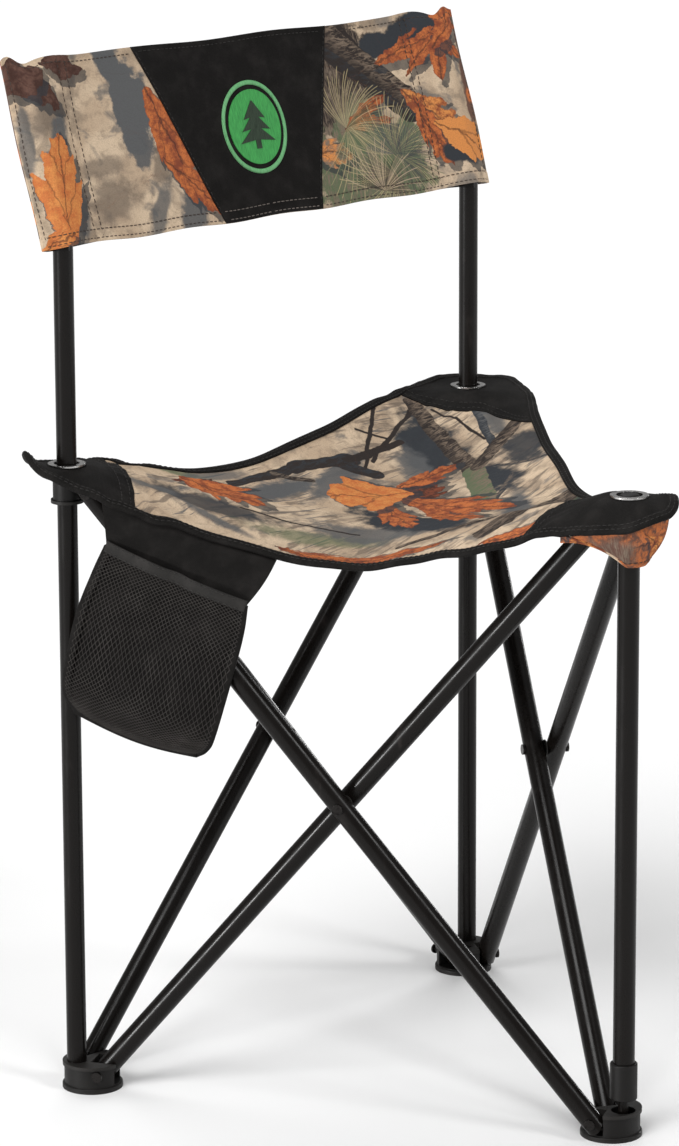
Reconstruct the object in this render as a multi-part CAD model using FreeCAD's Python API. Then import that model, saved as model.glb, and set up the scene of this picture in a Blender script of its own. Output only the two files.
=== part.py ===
import FreeCAD, Part
import math
import os

# Folding three leg stool with a backrest and a side pocket.
# Millimetres, +Z up, -Y towards the sitter's knees, floor at Z = 0.
# The origin is the bottom centre of the whole stool's box.

Vec = FreeCAD.Vector

# ---- driving dimensions -------------------------------------------------------------

LEG_SPACING = 424.0        # between the axes of any two legs
SEAT_Z = 482.0             # seat fabric at the three corners
OVERALL_TO_CENTRE_Y = 52.3 # moves the leg triangle so that the stool's box is centred

POST_OD = 15.0             # rear legs, which run up into the backrest
POST_WALL = 1.0
POST_FOOT_Z = 6.0          # lower end of a rear leg, inside its foot
BEND_Z = 650.0             # where a rear leg leans back
BEND_RADIUS = 40.0
BACK_LEAN = 18.0           # degrees
POST_LEAN_LENGTH = 122.0   # from the bend to the top end

FRONT_TUBE_OD = 16.2
FRONT_TUBE_WALL = 1.0
FRONT_TUBE_Z = 34.0        # lower end of the sliding front tube
FRONT_TUBE_TOP_Z = 479.0
ROD_OD = 8.0               # thin rod that the front tube slides on
ROD_TOP_Z = 300.0
GUIDE_LENGTH = 14.0
SLIDE_GAP = 0.3            # around the rod and its guide
BUSH_RADIUS = 10.2
BUSH_LENGTH = 28.0
BUSH_FLOOR = 4.0           # thickness under the front tube's end
BUSH_EDGE_RADIUS = 1.2

POST_CAP_HEAD = 3.0        # heights and edge radii of the plugs in the tubes' tops
POST_CAP_PLUG = 14.0
POST_CAP_EDGE = 2.0
FRONT_CAP_HEAD = 6.0
FRONT_CAP_PLUG = 12.0
FRONT_CAP_EDGE = 3.5

BRACE_OD = 16.0            # the six crossed tubes
BRACE_WALL = 1.0
BRACE_END_RADIUS = 8.6     # rounded tube end about its pin
PIVOT_INSET = 21.0         # from a leg's axis to a brace's pin, along the pair line
FOOT_PIVOT_Z = 14.0
HUB_PIVOT_Z = 466.0
OUTSIDE_BRACE = 10.7       # brace axis, outwards from the line between two legs
INSIDE_BRACE = -6.5

PIN_RADIUS = 2.5
PIN_HEAD_RADIUS = 4.0
PIN_HEAD_HEIGHT = 1.8
OUTSIDE_PIN_INNER_END = -2.0   # in a foot, where the outside brace's pin stops in the drum
INSIDE_PIN_OUTER_END = 14.6    # in a foot, the far head of the inside brace's pin
PIN_END_PLAY = 0.1
RUNNING_GAP = 0.05         # between a pin and the hole that turns on it
FIXED_GAP = 0.02
SPACER_RADIUS = 6.5
SPACER_END_GAP = 0.15

FOOT_RADIUS = 23.0
FOOT_INWARD = 12.0         # centre of the foot disc, from the leg's axis to the stool's centre
FOOT_BASE_HEIGHT = 4.0
FOOT_EDGE_RADIUS = 1.2
DRUM_RADIUS = 21.5
DRUM_TOP_Z = 19.0
RIM_TOP_Z = 21.0
RIM_BOTTOM_Z = 18.0
RIM_PROUD = 1.2
BAY_CLEARANCE = 0.6        # around a brace's rounded end, in the foot
BAY_REACH = 70.0           # a bay is open from its brace's end outwards
BAY_OPEN_SIDE = {True: 60.0, False: -18.0}   # outside and inside brace
FRONT_RECESS_RADIUS = 9.0
FRONT_RECESS_Z = 12.0
EAR_GAP = 0.4              # between a brace and the wall it lies against

HUB_Z = 455.0
HUB_TOP_Z = 478.5
HUB_RADIUS = 10.6
HUB_FLANGE_RADIUS = 12.2
HUB_FLANGE_HEIGHT = 2.5
HUB_SLIDE_GAP = 0.35
EAR_THICKNESS = 3.0
EAR_RADIUS = 7.0

FABRIC = 2.4
CORNER_RADIUS = 34.0       # rounded nose of a seat corner, about the leg's axis
CORNER_REACH = 33.6        # stiff corner, along both leg lines: half a folded leg spacing
CORNER_SHOULDER = 31.0     # the corner's edge at that reach, outwards from the leg line
GROMMET_RADIUS = 14.0
GROMMET_HOLE = 9.6
GROMMET_FLANGE = 1.3
GROMMET_WALL = 1.2
SEAT_CENTRE_Z = 430.0
EDGE_MIDDLE_Z = {"left": 417.0, "rear": 466.0, "right": 472.0}
EDGE_MIDDLE_INWARD = {"left": 15.0, "rear": 15.0, "right": 6.0}
EDGE_CORNER_OUTWARD = {"left": 17.0, "rear": 29.0, "right": 29.0}
EDGE_CORNER_DROOP = {"left": 14.0, "rear": 8.0, "right": 8.0}
GORE_GAP = 0.4             # between neighbouring pieces of seat fabric
FLAP_BOTTOM_Z = 434.0
FLAP_NOSE = 14.0           # centre of the flap's rounded front, outwards from the leg's axis
FLAP_RADIUS = 18.0
FLAP_SIDE_LENGTH = 45.0

SLEEVE_BORE = 9.3
SLEEVE_RADIUS = 10.6
SLEEVE_OUTER_EDGE = 21.0   # from the post's axis to the fabric's outer edge
SLEEVE_SEAM = 31.0         # from the post's axis to the sleeve's seam
SEAM_GAP = 0.3
SEAM_HALF_THICKNESS = 1.2
PATCH_THICKNESS = 0.9
BADGE_THICKNESS = 0.8
BADGE_SHOULDER = 0.55      # of its half height, where its straight sides end
BACKREST_LOW = -4.0        # along the lean, from the bend
BACKREST_HIGH = 136.0
PATCH_TOP_HALF = 100.0
PATCH_LOW_HALF = 49.0
BADGE_HEIGHT_ON_BACK = 64.0
BADGE_HALF_WIDTH = 33.0
BADGE_HALF_HEIGHT = 36.0

POCKET_BACK_AT = 20.2      # outwards from the leg line, clear of the outside brace
POCKET_SHEET = 1.6
POCKET_DEPTH = 14.0
POCKET_PIECE_GAP = 0.1
POCKET_RIM_INSET = 0.8
POCKET_HEM = 1.0

# ---- places -------------------------------------------------------------------------

UP = Vec(0, 0, 1)
CENTRE = Vec(0, OVERALL_TO_CENTRE_Y, 0)
LEG_RADIUS = LEG_SPACING / math.sqrt(3.0)
LEG_DIRECTION = {
    "front": Vec(0, -1, 0),
    "rear_left": Vec(-math.sqrt(3.0) / 2, 0.5, 0),
    "rear_right": Vec(math.sqrt(3.0) / 2, 0.5, 0),
}
LEG = {name: CENTRE + way * LEG_RADIUS for name, way in LEG_DIRECTION.items()}

# Each pair of legs holds two crossed braces. The outside brace runs from the first
# leg's foot to the second leg's hub, and the inside brace the other way.
PAIRS = {
    "left": ("front", "rear_left"),
    "rear": ("rear_left", "rear_right"),
    "right": ("rear_right", "front"),
}

# The pocket hangs from the left edge. Its outline is in millimetres along the line
# from the rear left leg to the front leg, and up from the floor.
POCKET_TOP = [(35.0, 456.0), (166.0, 428.0)]
POCKET_RIGHT = [(150.0, 397.0), (138.0, 360.0), (119.0, 290.0), (109.0, 277.0)]
POCKET_LEFT = [(18.0, 299.5), (5.0, 311.0), (7.0, 345.0), (18.0, 385.0)]
POCKET_MOUTH = [(38.0, 434.0), (139.0, 397.0)]
POCKET_MOUTH_BAND = 9.0


def along(first, second):
    """Unit vector from one leg's axis to another's."""
    way = LEG[second] - LEG[first]
    return way.normalize()


def outward(first, second):
    """Unit vector away from the stool's centre, square to the line between two legs."""
    middle = (LEG[first] + LEG[second]) * 0.5 - CENTRE
    return middle.normalize()


def place(first, second, distance, offset, height):
    """Point at a distance from the first leg towards the second, and offset outwards."""
    return (LEG[first] + along(first, second) * distance
            + outward(first, second) * offset + UP * height)


# ---- small solids -------------------------------------------------------------------

def rod(start, end, radius):
    way = end - start
    return Part.makeCylinder(radius, way.Length, start, way)


def pipe(start, end, outer_diameter, wall):
    return rod(start, end, outer_diameter / 2).cut(rod(start, end, outer_diameter / 2 - wall))


def plate(points, direction, thickness):
    """Flat outline drawn out along a direction."""
    outline = Part.makePolygon(points + [points[0]])
    return Part.Face(outline).extrude(direction * thickness)


def slab(top_points, thickness):
    """Closed skin of flat triangles through the top points, fanned from the first."""
    low_points = [p - UP * thickness for p in top_points]
    count = len(top_points)
    faces = []
    for i in range(1, count - 1):
        top = [top_points[0], top_points[i], top_points[i + 1]]
        low = [low_points[0], low_points[i + 1], low_points[i]]
        faces += [top, low]
    for i in range(count):
        j = (i + 1) % count
        faces.append([top_points[i], low_points[i], low_points[j]])
        faces.append([top_points[i], low_points[j], top_points[j]])
    skin = [Part.Face(Part.makePolygon(f + [f[0]])) for f in faces]
    shape = Part.makeSolid(Part.makeShell(skin))
    if shape.Volume < 0:
        shape.reverse()
    return shape


def headed_pin(start, end):
    """Pin with a round head at each end; the points are the heads' inner faces."""
    way = (end - start).normalize()
    shank = rod(start, end, PIN_RADIUS)
    low_head = rod(start - way * PIN_HEAD_HEIGHT, start, PIN_HEAD_RADIUS)
    high_head = rod(end, end + way * PIN_HEAD_HEIGHT, PIN_HEAD_RADIUS)
    return shank.fuse([low_head, high_head]).removeSplitter()


def drill(shape, point, direction, gap, reach=40.0):
    hole = rod(point - direction * reach, point + direction * reach, PIN_RADIUS + gap)
    return shape.cut(hole)


# ---- frame --------------------------------------------------------------------------

def brace_ends(pair, outside):
    """Foot pivot and hub pivot of one brace."""
    first, second = PAIRS[pair]
    offset = OUTSIDE_BRACE if outside else INSIDE_BRACE
    near = PIVOT_INSET
    far = LEG_SPACING - PIVOT_INSET
    foot_at, hub_at = (near, far) if outside else (far, near)
    return (place(first, second, foot_at, offset, FOOT_PIVOT_Z),
            place(first, second, hub_at, offset, HUB_PIVOT_Z))


def brace(pair, outside):
    """Round tube with ends rounded about their pins, drilled for three pins."""
    foot, hub = brace_ends(pair, outside)
    normal = outward(*PAIRS[pair])
    way = (hub - foot).normalize()
    reach = BRACE_END_RADIUS
    tube = pipe(foot - way * reach, hub + way * reach, BRACE_OD, BRACE_WALL)
    half_width = normal * BRACE_OD
    keep = [rod(end - half_width, end + half_width, BRACE_END_RADIUS) for end in (foot, hub)]
    keep.append(rod(foot, hub, BRACE_OD))
    tube = tube.common(keep[0].fuse(keep[1:]))
    for point in (foot, hub, (foot + hub) * 0.5):
        tube = drill(tube, point, normal, RUNNING_GAP)
    return tube


def centre_rivet(pair):
    """Rivet through both braces of a pair where they cross."""
    first, second = PAIRS[pair]
    height = (FOOT_PIVOT_Z + HUB_PIVOT_Z) / 2
    inner = place(first, second, LEG_SPACING / 2, INSIDE_BRACE - BRACE_OD / 2, height)
    outer = place(first, second, LEG_SPACING / 2, OUTSIDE_BRACE + BRACE_OD / 2, height)
    return headed_pin(inner, outer)


def centre_spacer(pair):
    """Plastic washer between the two braces of a pair."""
    first, second = PAIRS[pair]
    height = (FOOT_PIVOT_Z + HUB_PIVOT_Z) / 2
    room = OUTSIDE_BRACE - INSIDE_BRACE - BRACE_OD
    inner = INSIDE_BRACE + BRACE_OD / 2 + SPACER_END_GAP
    start = place(first, second, LEG_SPACING / 2, inner, height)
    end = place(first, second, LEG_SPACING / 2, inner + room - 2 * SPACER_END_GAP, height)
    washer = rod(start, end, SPACER_RADIUS)
    return drill(washer, start, outward(first, second), FIXED_GAP)


def pairs_of(leg):
    """The two pairs that a leg is in, the one it starts first."""
    starts = [name for name, legs in PAIRS.items() if legs[0] == leg]
    ends = [name for name, legs in PAIRS.items() if legs[1] == leg]
    return starts[0], ends[0]


def other_leg(leg, pair):
    first, second = PAIRS[pair]
    return second if first == leg else first


def wall_face(outside):
    """Offset of the wall or ear face that a brace lies against."""
    if outside:
        return OUTSIDE_BRACE - BRACE_OD / 2 - EAR_GAP
    return INSIDE_BRACE + BRACE_OD / 2 + EAR_GAP


def foot(leg):
    """Moulded foot: round base, drum with a bay for each brace, socket and rim."""
    inward = -LEG_DIRECTION[leg]
    centre = LEG[leg] + inward * FOOT_INWARD
    base = Part.makeCylinder(FOOT_RADIUS, FOOT_BASE_HEIGHT, centre)
    base = base.makeFillet(FOOT_EDGE_RADIUS, [base.Edges[0]])
    drum = Part.makeCylinder(DRUM_RADIUS, DRUM_TOP_Z, centre)
    rim = Part.makeCylinder(DRUM_RADIUS + RIM_PROUD, RIM_TOP_Z - RIM_BOTTOM_Z,
                            centre + UP * RIM_BOTTOM_Z)
    body = drum.fuse(rim).removeSplitter()
    bay_start = PIVOT_INSET - BRACE_END_RADIUS - BAY_CLEARANCE
    bay_z = FOOT_BASE_HEIGHT + BAY_CLEARANCE
    for pair in pairs_of(leg):
        other = other_leg(leg, pair)
        outside = PAIRS[pair][0] == leg
        face = wall_face(outside)
        far_side = BAY_OPEN_SIDE[outside]
        corner = [(bay_start, face), (BAY_REACH, face),
                  (BAY_REACH, far_side), (bay_start, far_side)]
        points = [place(leg, other, u, w, bay_z) for u, w in corner]
        body = body.cut(plate(points, UP, RIM_TOP_Z))
    body = body.fuse(base).removeSplitter()
    if leg == "front":
        recess = Part.makeCylinder(FRONT_RECESS_RADIUS, RIM_TOP_Z, LEG[leg] + UP * FRONT_RECESS_Z)
        body = body.cut(recess)
        socket_radius = ROD_OD / 2
    else:
        socket_radius = POST_OD / 2
    socket = Part.makeCylinder(socket_radius + FIXED_GAP, RIM_TOP_Z, LEG[leg] + UP * POST_FOOT_Z)
    body = body.cut(socket)
    for start, _ in foot_pin_lines(leg):
        body = drill(body, start[0], start[1], FIXED_GAP)
    return body


def foot_pin_lines(leg):
    """For each pair: (a point on the pin, its direction) and its two head faces."""
    lines = []
    for pair in pairs_of(leg):
        other = other_leg(leg, pair)
        outside = PAIRS[pair][0] == leg
        if outside:
            faces = (OUTSIDE_PIN_INNER_END, OUTSIDE_BRACE + BRACE_OD / 2 + PIN_END_PLAY)
        else:
            faces = (INSIDE_BRACE - BRACE_OD / 2 - PIN_END_PLAY, INSIDE_PIN_OUTER_END)
        ends = [place(leg, other, PIVOT_INSET, w, FOOT_PIVOT_Z) for w in faces]
        normal = outward(leg, other)
        lines.append(((ends[0], normal), ends))
    return lines


def foot_pins(leg):
    """The two pins that hold the braces in a foot."""
    pins = []
    for pair, (_, ends) in zip(pairs_of(leg), foot_pin_lines(leg)):
        if PAIRS[pair][0] == leg:
            normal = outward(leg, other_leg(leg, pair))
            head = rod(ends[1], ends[1] + normal * PIN_HEAD_HEIGHT, PIN_HEAD_RADIUS)
            pins.append(rod(ends[0], ends[1], PIN_RADIUS).fuse(head).removeSplitter())
        else:
            pins.append(headed_pin(ends[0], ends[1]))
    return pins


def hub(leg):
    """Sliding collar with one ear for each brace."""
    centre = LEG[leg]
    collar = Part.makeCylinder(HUB_RADIUS, HUB_TOP_Z - HUB_Z, centre + UP * HUB_Z)
    flange = Part.makeCylinder(HUB_FLANGE_RADIUS, HUB_FLANGE_HEIGHT, centre + UP * HUB_Z)
    body = collar.fuse(flange)
    for pair in pairs_of(leg):
        other = other_leg(leg, pair)
        outside = PAIRS[pair][1] == leg
        face = wall_face(outside)
        thickness = -EAR_THICKNESS if outside else EAR_THICKNESS
        low, high = HUB_PIVOT_Z - EAR_RADIUS, HUB_PIVOT_Z + EAR_RADIUS
        corners = [(0.0, low), (PIVOT_INSET, low), (PIVOT_INSET, high), (0.0, high)]
        points = [place(leg, other, u, face, z) for u, z in corners]
        body = body.fuse(plate(points, outward(leg, other), thickness))
        tip = place(leg, other, PIVOT_INSET, face, HUB_PIVOT_Z)
        back = place(leg, other, PIVOT_INSET, face + thickness, HUB_PIVOT_Z)
        body = body.fuse(rod(tip, back, EAR_RADIUS))
    body = body.removeSplitter()
    if leg == "front":
        bore = FRONT_TUBE_OD / 2 + FIXED_GAP
    else:
        bore = POST_OD / 2 + HUB_SLIDE_GAP
    body = body.cut(Part.makeCylinder(bore, HUB_TOP_Z, centre + UP * HUB_Z / 2))
    for start, end in hub_pin_lines(leg):
        body = drill(body, start, (end - start).normalize(), FIXED_GAP)
    return body


def hub_pin_lines(leg):
    """Inner faces of the heads of a hub's two pins."""
    lines = []
    for pair in pairs_of(leg):
        other = other_leg(leg, pair)
        outside = PAIRS[pair][1] == leg
        face = wall_face(outside)
        if outside:
            faces = (face - EAR_THICKNESS, OUTSIDE_BRACE + BRACE_OD / 2 + PIN_END_PLAY)
        else:
            faces = (INSIDE_BRACE - BRACE_OD / 2 - PIN_END_PLAY, face + EAR_THICKNESS)
        lines.append([place(leg, other, PIVOT_INSET, w, HUB_PIVOT_Z) for w in faces])
    return lines


def hub_pins(leg):
    return [headed_pin(start, end) for start, end in hub_pin_lines(leg)]


def lean_placement(leg):
    """Local Z runs up the leaning part of a rear leg, from its bend."""
    base = Vec(LEG[leg].x, LEG[leg].y, BEND_Z)
    return FreeCAD.Placement(base, FreeCAD.Rotation(Vec(1, 0, 0), -BACK_LEAN))


def rear_post(leg):
    """Tube, upright to the bend and then leaning back."""
    half_turn = math.radians(BACK_LEAN) / 2
    setback = BEND_RADIUS * math.tan(half_turn)
    lean = lean_placement(leg)
    bottom = LEG[leg] + UP * POST_FOOT_Z
    bend_start = LEG[leg] + UP * (BEND_Z - setback)
    bend_end = lean.multVec(Vec(0, 0, setback))
    top = lean.multVec(Vec(0, 0, POST_LEAN_LENGTH))
    corner = LEG[leg] + UP * BEND_Z
    sagitta = BEND_RADIUS * (1 / math.cos(half_turn) - 1)
    across = Vec(0, math.cos(half_turn), -math.sin(half_turn))
    middle = corner + across * sagitta
    path = Part.Wire([
        Part.makeLine(bottom, bend_start),
        Part.Arc(bend_start, middle, bend_end).toShape(),
        Part.makeLine(bend_end, top),
    ])
    solids = []
    for radius in (POST_OD / 2, POST_OD / 2 - POST_WALL):
        ring = Part.Wire([Part.makeCircle(radius, bottom, UP)])
        solids.append(path.makePipeShell([ring], True, False))
    return solids[0].cut(solids[1])


def post_cap(leg):
    """Plug with a domed head in the top of a rear leg."""
    lean = lean_placement(leg)
    plug = Part.makeCylinder(POST_OD / 2 - POST_WALL - FIXED_GAP, POST_CAP_PLUG,
                             Vec(0, 0, POST_LEAN_LENGTH - POST_CAP_PLUG))
    head = Part.makeCylinder(POST_OD / 2, POST_CAP_HEAD, Vec(0, 0, POST_LEAN_LENGTH))
    head = head.makeFillet(POST_CAP_EDGE, [head.Edges[0]])
    cap = plug.fuse(head).removeSplitter()
    cap.Placement = lean
    return cap


def front_tube():
    bottom = LEG["front"] + UP * FRONT_TUBE_Z
    top = LEG["front"] + UP * FRONT_TUBE_TOP_Z
    return pipe(bottom, top, FRONT_TUBE_OD, FRONT_TUBE_WALL)


def front_bush():
    """Guide bush at the lower end of the front tube."""
    tube_end = LEG["front"] + UP * FRONT_TUBE_Z
    base = tube_end - UP * BUSH_FLOOR
    body = Part.makeCylinder(BUSH_RADIUS, BUSH_LENGTH, base)
    body = body.makeFillet(BUSH_EDGE_RADIUS, [body.Edges[0], body.Edges[2]])
    body = body.cut(Part.makeCylinder(FRONT_TUBE_OD / 2 + FIXED_GAP, BUSH_LENGTH, tube_end))
    return body.cut(Part.makeCylinder(ROD_OD / 2 + SLIDE_GAP, 2 * BUSH_LENGTH,
                                      base - UP * BUSH_FLOOR))


def front_rod_guide():
    """Plastic guide on the top of the thin rod, sliding inside the front tube."""
    centre = LEG["front"] + UP * ROD_TOP_Z
    return Part.makeCylinder(FRONT_TUBE_OD / 2 - FRONT_TUBE_WALL - SLIDE_GAP, GUIDE_LENGTH, centre)


def front_cap():
    """Domed plug in the top of the front tube, seen through the grommet."""
    top = LEG["front"] + UP * FRONT_TUBE_TOP_Z
    plug = Part.makeCylinder(FRONT_TUBE_OD / 2 - FRONT_TUBE_WALL - FIXED_GAP, FRONT_CAP_PLUG,
                             top - UP * FRONT_CAP_PLUG)
    head = Part.makeCylinder(FRONT_TUBE_OD / 2, FRONT_CAP_HEAD, top)
    head = head.makeFillet(FRONT_CAP_EDGE, [head.Edges[0]])
    return plug.fuse(head).removeSplitter()


# ---- seat ---------------------------------------------------------------------------

def grommet(leg):
    """Metal eyelet that the leg passes through, with a flange each side of the fabric."""
    centre = LEG[leg]
    barrel_low = SEAT_Z - FABRIC / 2 - GROMMET_FLANGE
    height = FABRIC + 2 * GROMMET_FLANGE
    barrel = Part.makeCylinder(GROMMET_HOLE + GROMMET_WALL, height, centre + UP * barrel_low)
    flanges = []
    for z in (barrel_low, barrel_low + height - GROMMET_FLANGE):
        flange = Part.makeCylinder(GROMMET_RADIUS, GROMMET_FLANGE, centre + UP * z)
        flanges.append(flange)
    body = barrel.fuse(flanges).removeSplitter()
    return body.cut(Part.makeCylinder(GROMMET_HOLE, height, centre + UP * barrel_low))


def corner_patch(leg):
    """Stiff corner of the seat: a rounded nose, two shoulders and a point inwards."""
    low = SEAT_Z - FABRIC / 2
    first, second = [other_leg(leg, pair) for pair in pairs_of(leg)]
    nose_ends = [place(leg, other, 0.0, CORNER_RADIUS, low) for other in (first, second)]
    nose_tip = LEG[leg] + LEG_DIRECTION[leg] * CORNER_RADIUS + UP * low
    shoulders = [place(leg, other, CORNER_REACH, CORNER_SHOULDER, low) for other in (first, second)]
    inner_tip = corner_tip(leg, 0.0) + UP * low
    outline = Part.Wire([
        Part.Arc(nose_ends[0], nose_tip, nose_ends[1]).toShape(),
        Part.makeLine(nose_ends[1], shoulders[1]),
        Part.makeLine(shoulders[1], inner_tip),
        Part.makeLine(inner_tip, shoulders[0]),
        Part.makeLine(shoulders[0], nose_ends[0]),
    ])
    body = Part.Face(outline).extrude(UP * FABRIC)
    hole = Part.makeCylinder(GROMMET_HOLE + GROMMET_WALL + FIXED_GAP, FABRIC, LEG[leg] + UP * low)
    return body.cut(hole)


def corner_tip(leg, beyond):
    """Where the corner's two inner edges meet, moved along both leg lines by a gap."""
    inward = (CORNER_REACH + beyond) / math.cos(math.radians(30.0))
    return LEG[leg] - LEG_DIRECTION[leg] * inward


def flap_shape(radius, length, low, height):
    """Rounded front with two tangent sides, parallel to the leg lines."""
    nose = LEG["front"] + LEG_DIRECTION["front"] * FLAP_NOSE + UP * low
    others = [other_leg("front", pair) for pair in pairs_of("front")]
    sides = [nose + outward("front", other) * radius for other in others]
    ends = [side + along("front", other) * length for side, other in zip(sides, others)]
    wedge = plate([sides[0], ends[0], ends[1], sides[1]], UP, height)
    return Part.makeCylinder(radius, height, nose).fuse(wedge)


def front_corner_flap():
    """Fabric skirt that hangs around the front hub, under the corner."""
    top = SEAT_Z - FABRIC / 2 - PIN_END_PLAY
    height = top - FLAP_BOTTOM_Z
    outer = flap_shape(FLAP_RADIUS, FLAP_SIDE_LENGTH, FLAP_BOTTOM_Z, height)
    inner = flap_shape(FLAP_RADIUS - FABRIC, FLAP_SIDE_LENGTH + FABRIC, FLAP_BOTTOM_Z - 1, height + 2)
    return outer.cut(inner).removeSplitter()


def seat_centre():
    return CENTRE + UP * SEAT_CENTRE_Z


def edge_middle(pair):
    first, second = PAIRS[pair]
    return place(first, second, LEG_SPACING / 2, -EDGE_MIDDLE_INWARD[pair], EDGE_MIDDLE_Z[pair])


def seat_gore(leg, pair):
    """Piece of the seat between a corner, the seat's centre and the middle of an edge."""
    other = other_leg(leg, pair)
    way = along(leg, other)
    from_centre_line = UP.cross(LEG_DIRECTION[leg]) * GORE_GAP
    if from_centre_line.dot(outward(leg, other)) < 0:
        from_centre_line = -from_centre_line
    start = corner_tip(leg, 2 * GORE_GAP) + UP * SEAT_Z + from_centre_line
    edge_start = place(leg, other, CORNER_REACH + 2 * GORE_GAP, EDGE_CORNER_OUTWARD[pair],
                       SEAT_Z - EDGE_CORNER_DROOP[pair])
    points = [start, seat_centre() + from_centre_line - way * GORE_GAP,
              edge_middle(pair) - way * GORE_GAP, edge_start]
    return slab(points, FABRIC)


# ---- backrest -----------------------------------------------------------------------

def on_back(points, front, thickness):
    """Flat piece of the backrest, drawn as (x, height along the lean) from the middle."""
    middle_y = LEG["rear_left"].y
    outline = [Vec(x, -front, v) for x, v in points]
    body = plate(outline, Vec(0, -1, 0), thickness)
    body.Placement = FreeCAD.Placement(Vec(0, middle_y, BEND_Z),
                                       FreeCAD.Rotation(Vec(1, 0, 0), -BACK_LEAN))
    return body


def sleeve(leg):
    """Sewn tunnel that the top of a rear leg sits in."""
    side = 1.0 if leg == "rear_right" else -1.0
    height = BACKREST_HIGH - BACKREST_LOW
    base = Vec(0, 0, BACKREST_LOW)
    tunnel = Part.makeCylinder(SLEEVE_RADIUS, height, base)
    thin = SEAM_HALF_THICKNESS
    for reach in (side * SLEEVE_OUTER_EDGE, -side * (SLEEVE_SEAM - SEAM_GAP)):
        touch_angle = math.acos(SLEEVE_RADIUS / abs(reach))
        touch_x = math.copysign(SLEEVE_RADIUS * math.cos(touch_angle), reach)
        touch_y = SLEEVE_RADIUS * math.sin(touch_angle)
        corners = [(touch_x, touch_y), (reach, thin), (reach, -thin), (touch_x, -touch_y)]
        points = [Vec(x, y, BACKREST_LOW) for x, y in corners]
        tunnel = tunnel.fuse(plate(points, UP, height))
    tunnel = tunnel.removeSplitter()
    tunnel = tunnel.cut(Part.makeCylinder(SLEEVE_BORE, height + 2, base - UP))
    tunnel.Placement = lean_placement(leg)
    return tunnel


def back_panel(side):
    """Half of the backrest's fabric, from the sleeve's seam to the middle."""
    seam = LEG_SPACING / 2 - SLEEVE_SEAM
    xs = (side * GORE_GAP, side * seam)
    points = [(xs[0], BACKREST_LOW), (xs[1], BACKREST_LOW),
              (xs[1], BACKREST_HIGH), (xs[0], BACKREST_HIGH)]
    return on_back(points, -FABRIC / 2, FABRIC)


def back_patch(side):
    """Half of the plain panel sewn over the middle of the backrest."""
    points = [(side * GORE_GAP, BACKREST_LOW), (side * PATCH_LOW_HALF, BACKREST_LOW),
              (side * PATCH_TOP_HALF, BACKREST_HIGH), (side * GORE_GAP, BACKREST_HIGH)]
    return on_back(points, FABRIC / 2, PATCH_THICKNESS)


def badge(side):
    """Half of the sewn badge."""
    middle = BADGE_HEIGHT_ON_BACK
    shoulder = BADGE_HALF_HEIGHT * BADGE_SHOULDER
    points = [(side * GORE_GAP, middle - BADGE_HALF_HEIGHT),
              (side * BADGE_HALF_WIDTH, middle - shoulder),
              (side * BADGE_HALF_WIDTH, middle + shoulder),
              (side * GORE_GAP, middle + BADGE_HALF_HEIGHT)]
    return on_back(points, FABRIC / 2 + PATCH_THICKNESS, BADGE_THICKNESS)


# ---- pocket -------------------------------------------------------------------------

def pocket_points(outline, offset):
    return [place("rear_left", "front", u, offset, z) for u, z in outline]


def pocket_prism(outline, offset, thickness):
    return plate(pocket_points(outline, offset), outward("rear_left", "front"), thickness)


def pocket_back():
    """Plain sheet that hangs from the seat's left edge."""
    return pocket_prism(POCKET_TOP + POCKET_RIGHT + POCKET_LEFT, POCKET_BACK_AT, POCKET_SHEET)


def inset(outline, amount):
    """Outline moved inwards by an amount, in its own plane."""
    flat = Part.makePolygon([Vec(u, z, 0) for u, z in outline + [outline[0]]])
    moved = Part.Face(flat).makeOffset2D(-amount, join=2)
    return [(v.Point.x, v.Point.y) for v in moved.OuterWire.OrderedVertexes]


def pocket_mesh():
    """Bulged net front: a shallow tray, open at the top."""
    offset = POCKET_BACK_AT + POCKET_SHEET + POCKET_PIECE_GAP
    rim = POCKET_RIGHT[1:] + POCKET_LEFT
    body = pocket_prism(inset(POCKET_MOUTH + rim, POCKET_RIM_INSET), offset, POCKET_DEPTH)
    above_mouth = [(u, z + POCKET_DEPTH) for u, z in POCKET_MOUTH]
    hollow = inset(above_mouth + rim, POCKET_RIM_INSET + POCKET_SHEET)
    return body.cut(pocket_prism(hollow, offset - 1.0, POCKET_DEPTH + 1.0 - POCKET_SHEET))


def pocket_hem():
    """Plain band sewn along the net's mouth."""
    start, end = [Vec(u, z, 0) for u, z in POCKET_MOUTH]
    run = (end - start).normalize()
    down = Vec(run.y, -run.x, 0) * POCKET_MOUTH_BAND
    ends = [start + run * 4.0 + down * 0.1, end - run * 4.0 + down * 0.1]
    corners = ends + [ends[1] + down, ends[0] + down]
    offset = POCKET_BACK_AT + POCKET_SHEET + POCKET_PIECE_GAP + POCKET_DEPTH
    return pocket_prism([(c.x, c.y) for c in corners], offset, POCKET_HEM)


# ---- whole stool --------------------------------------------------------------------

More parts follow.
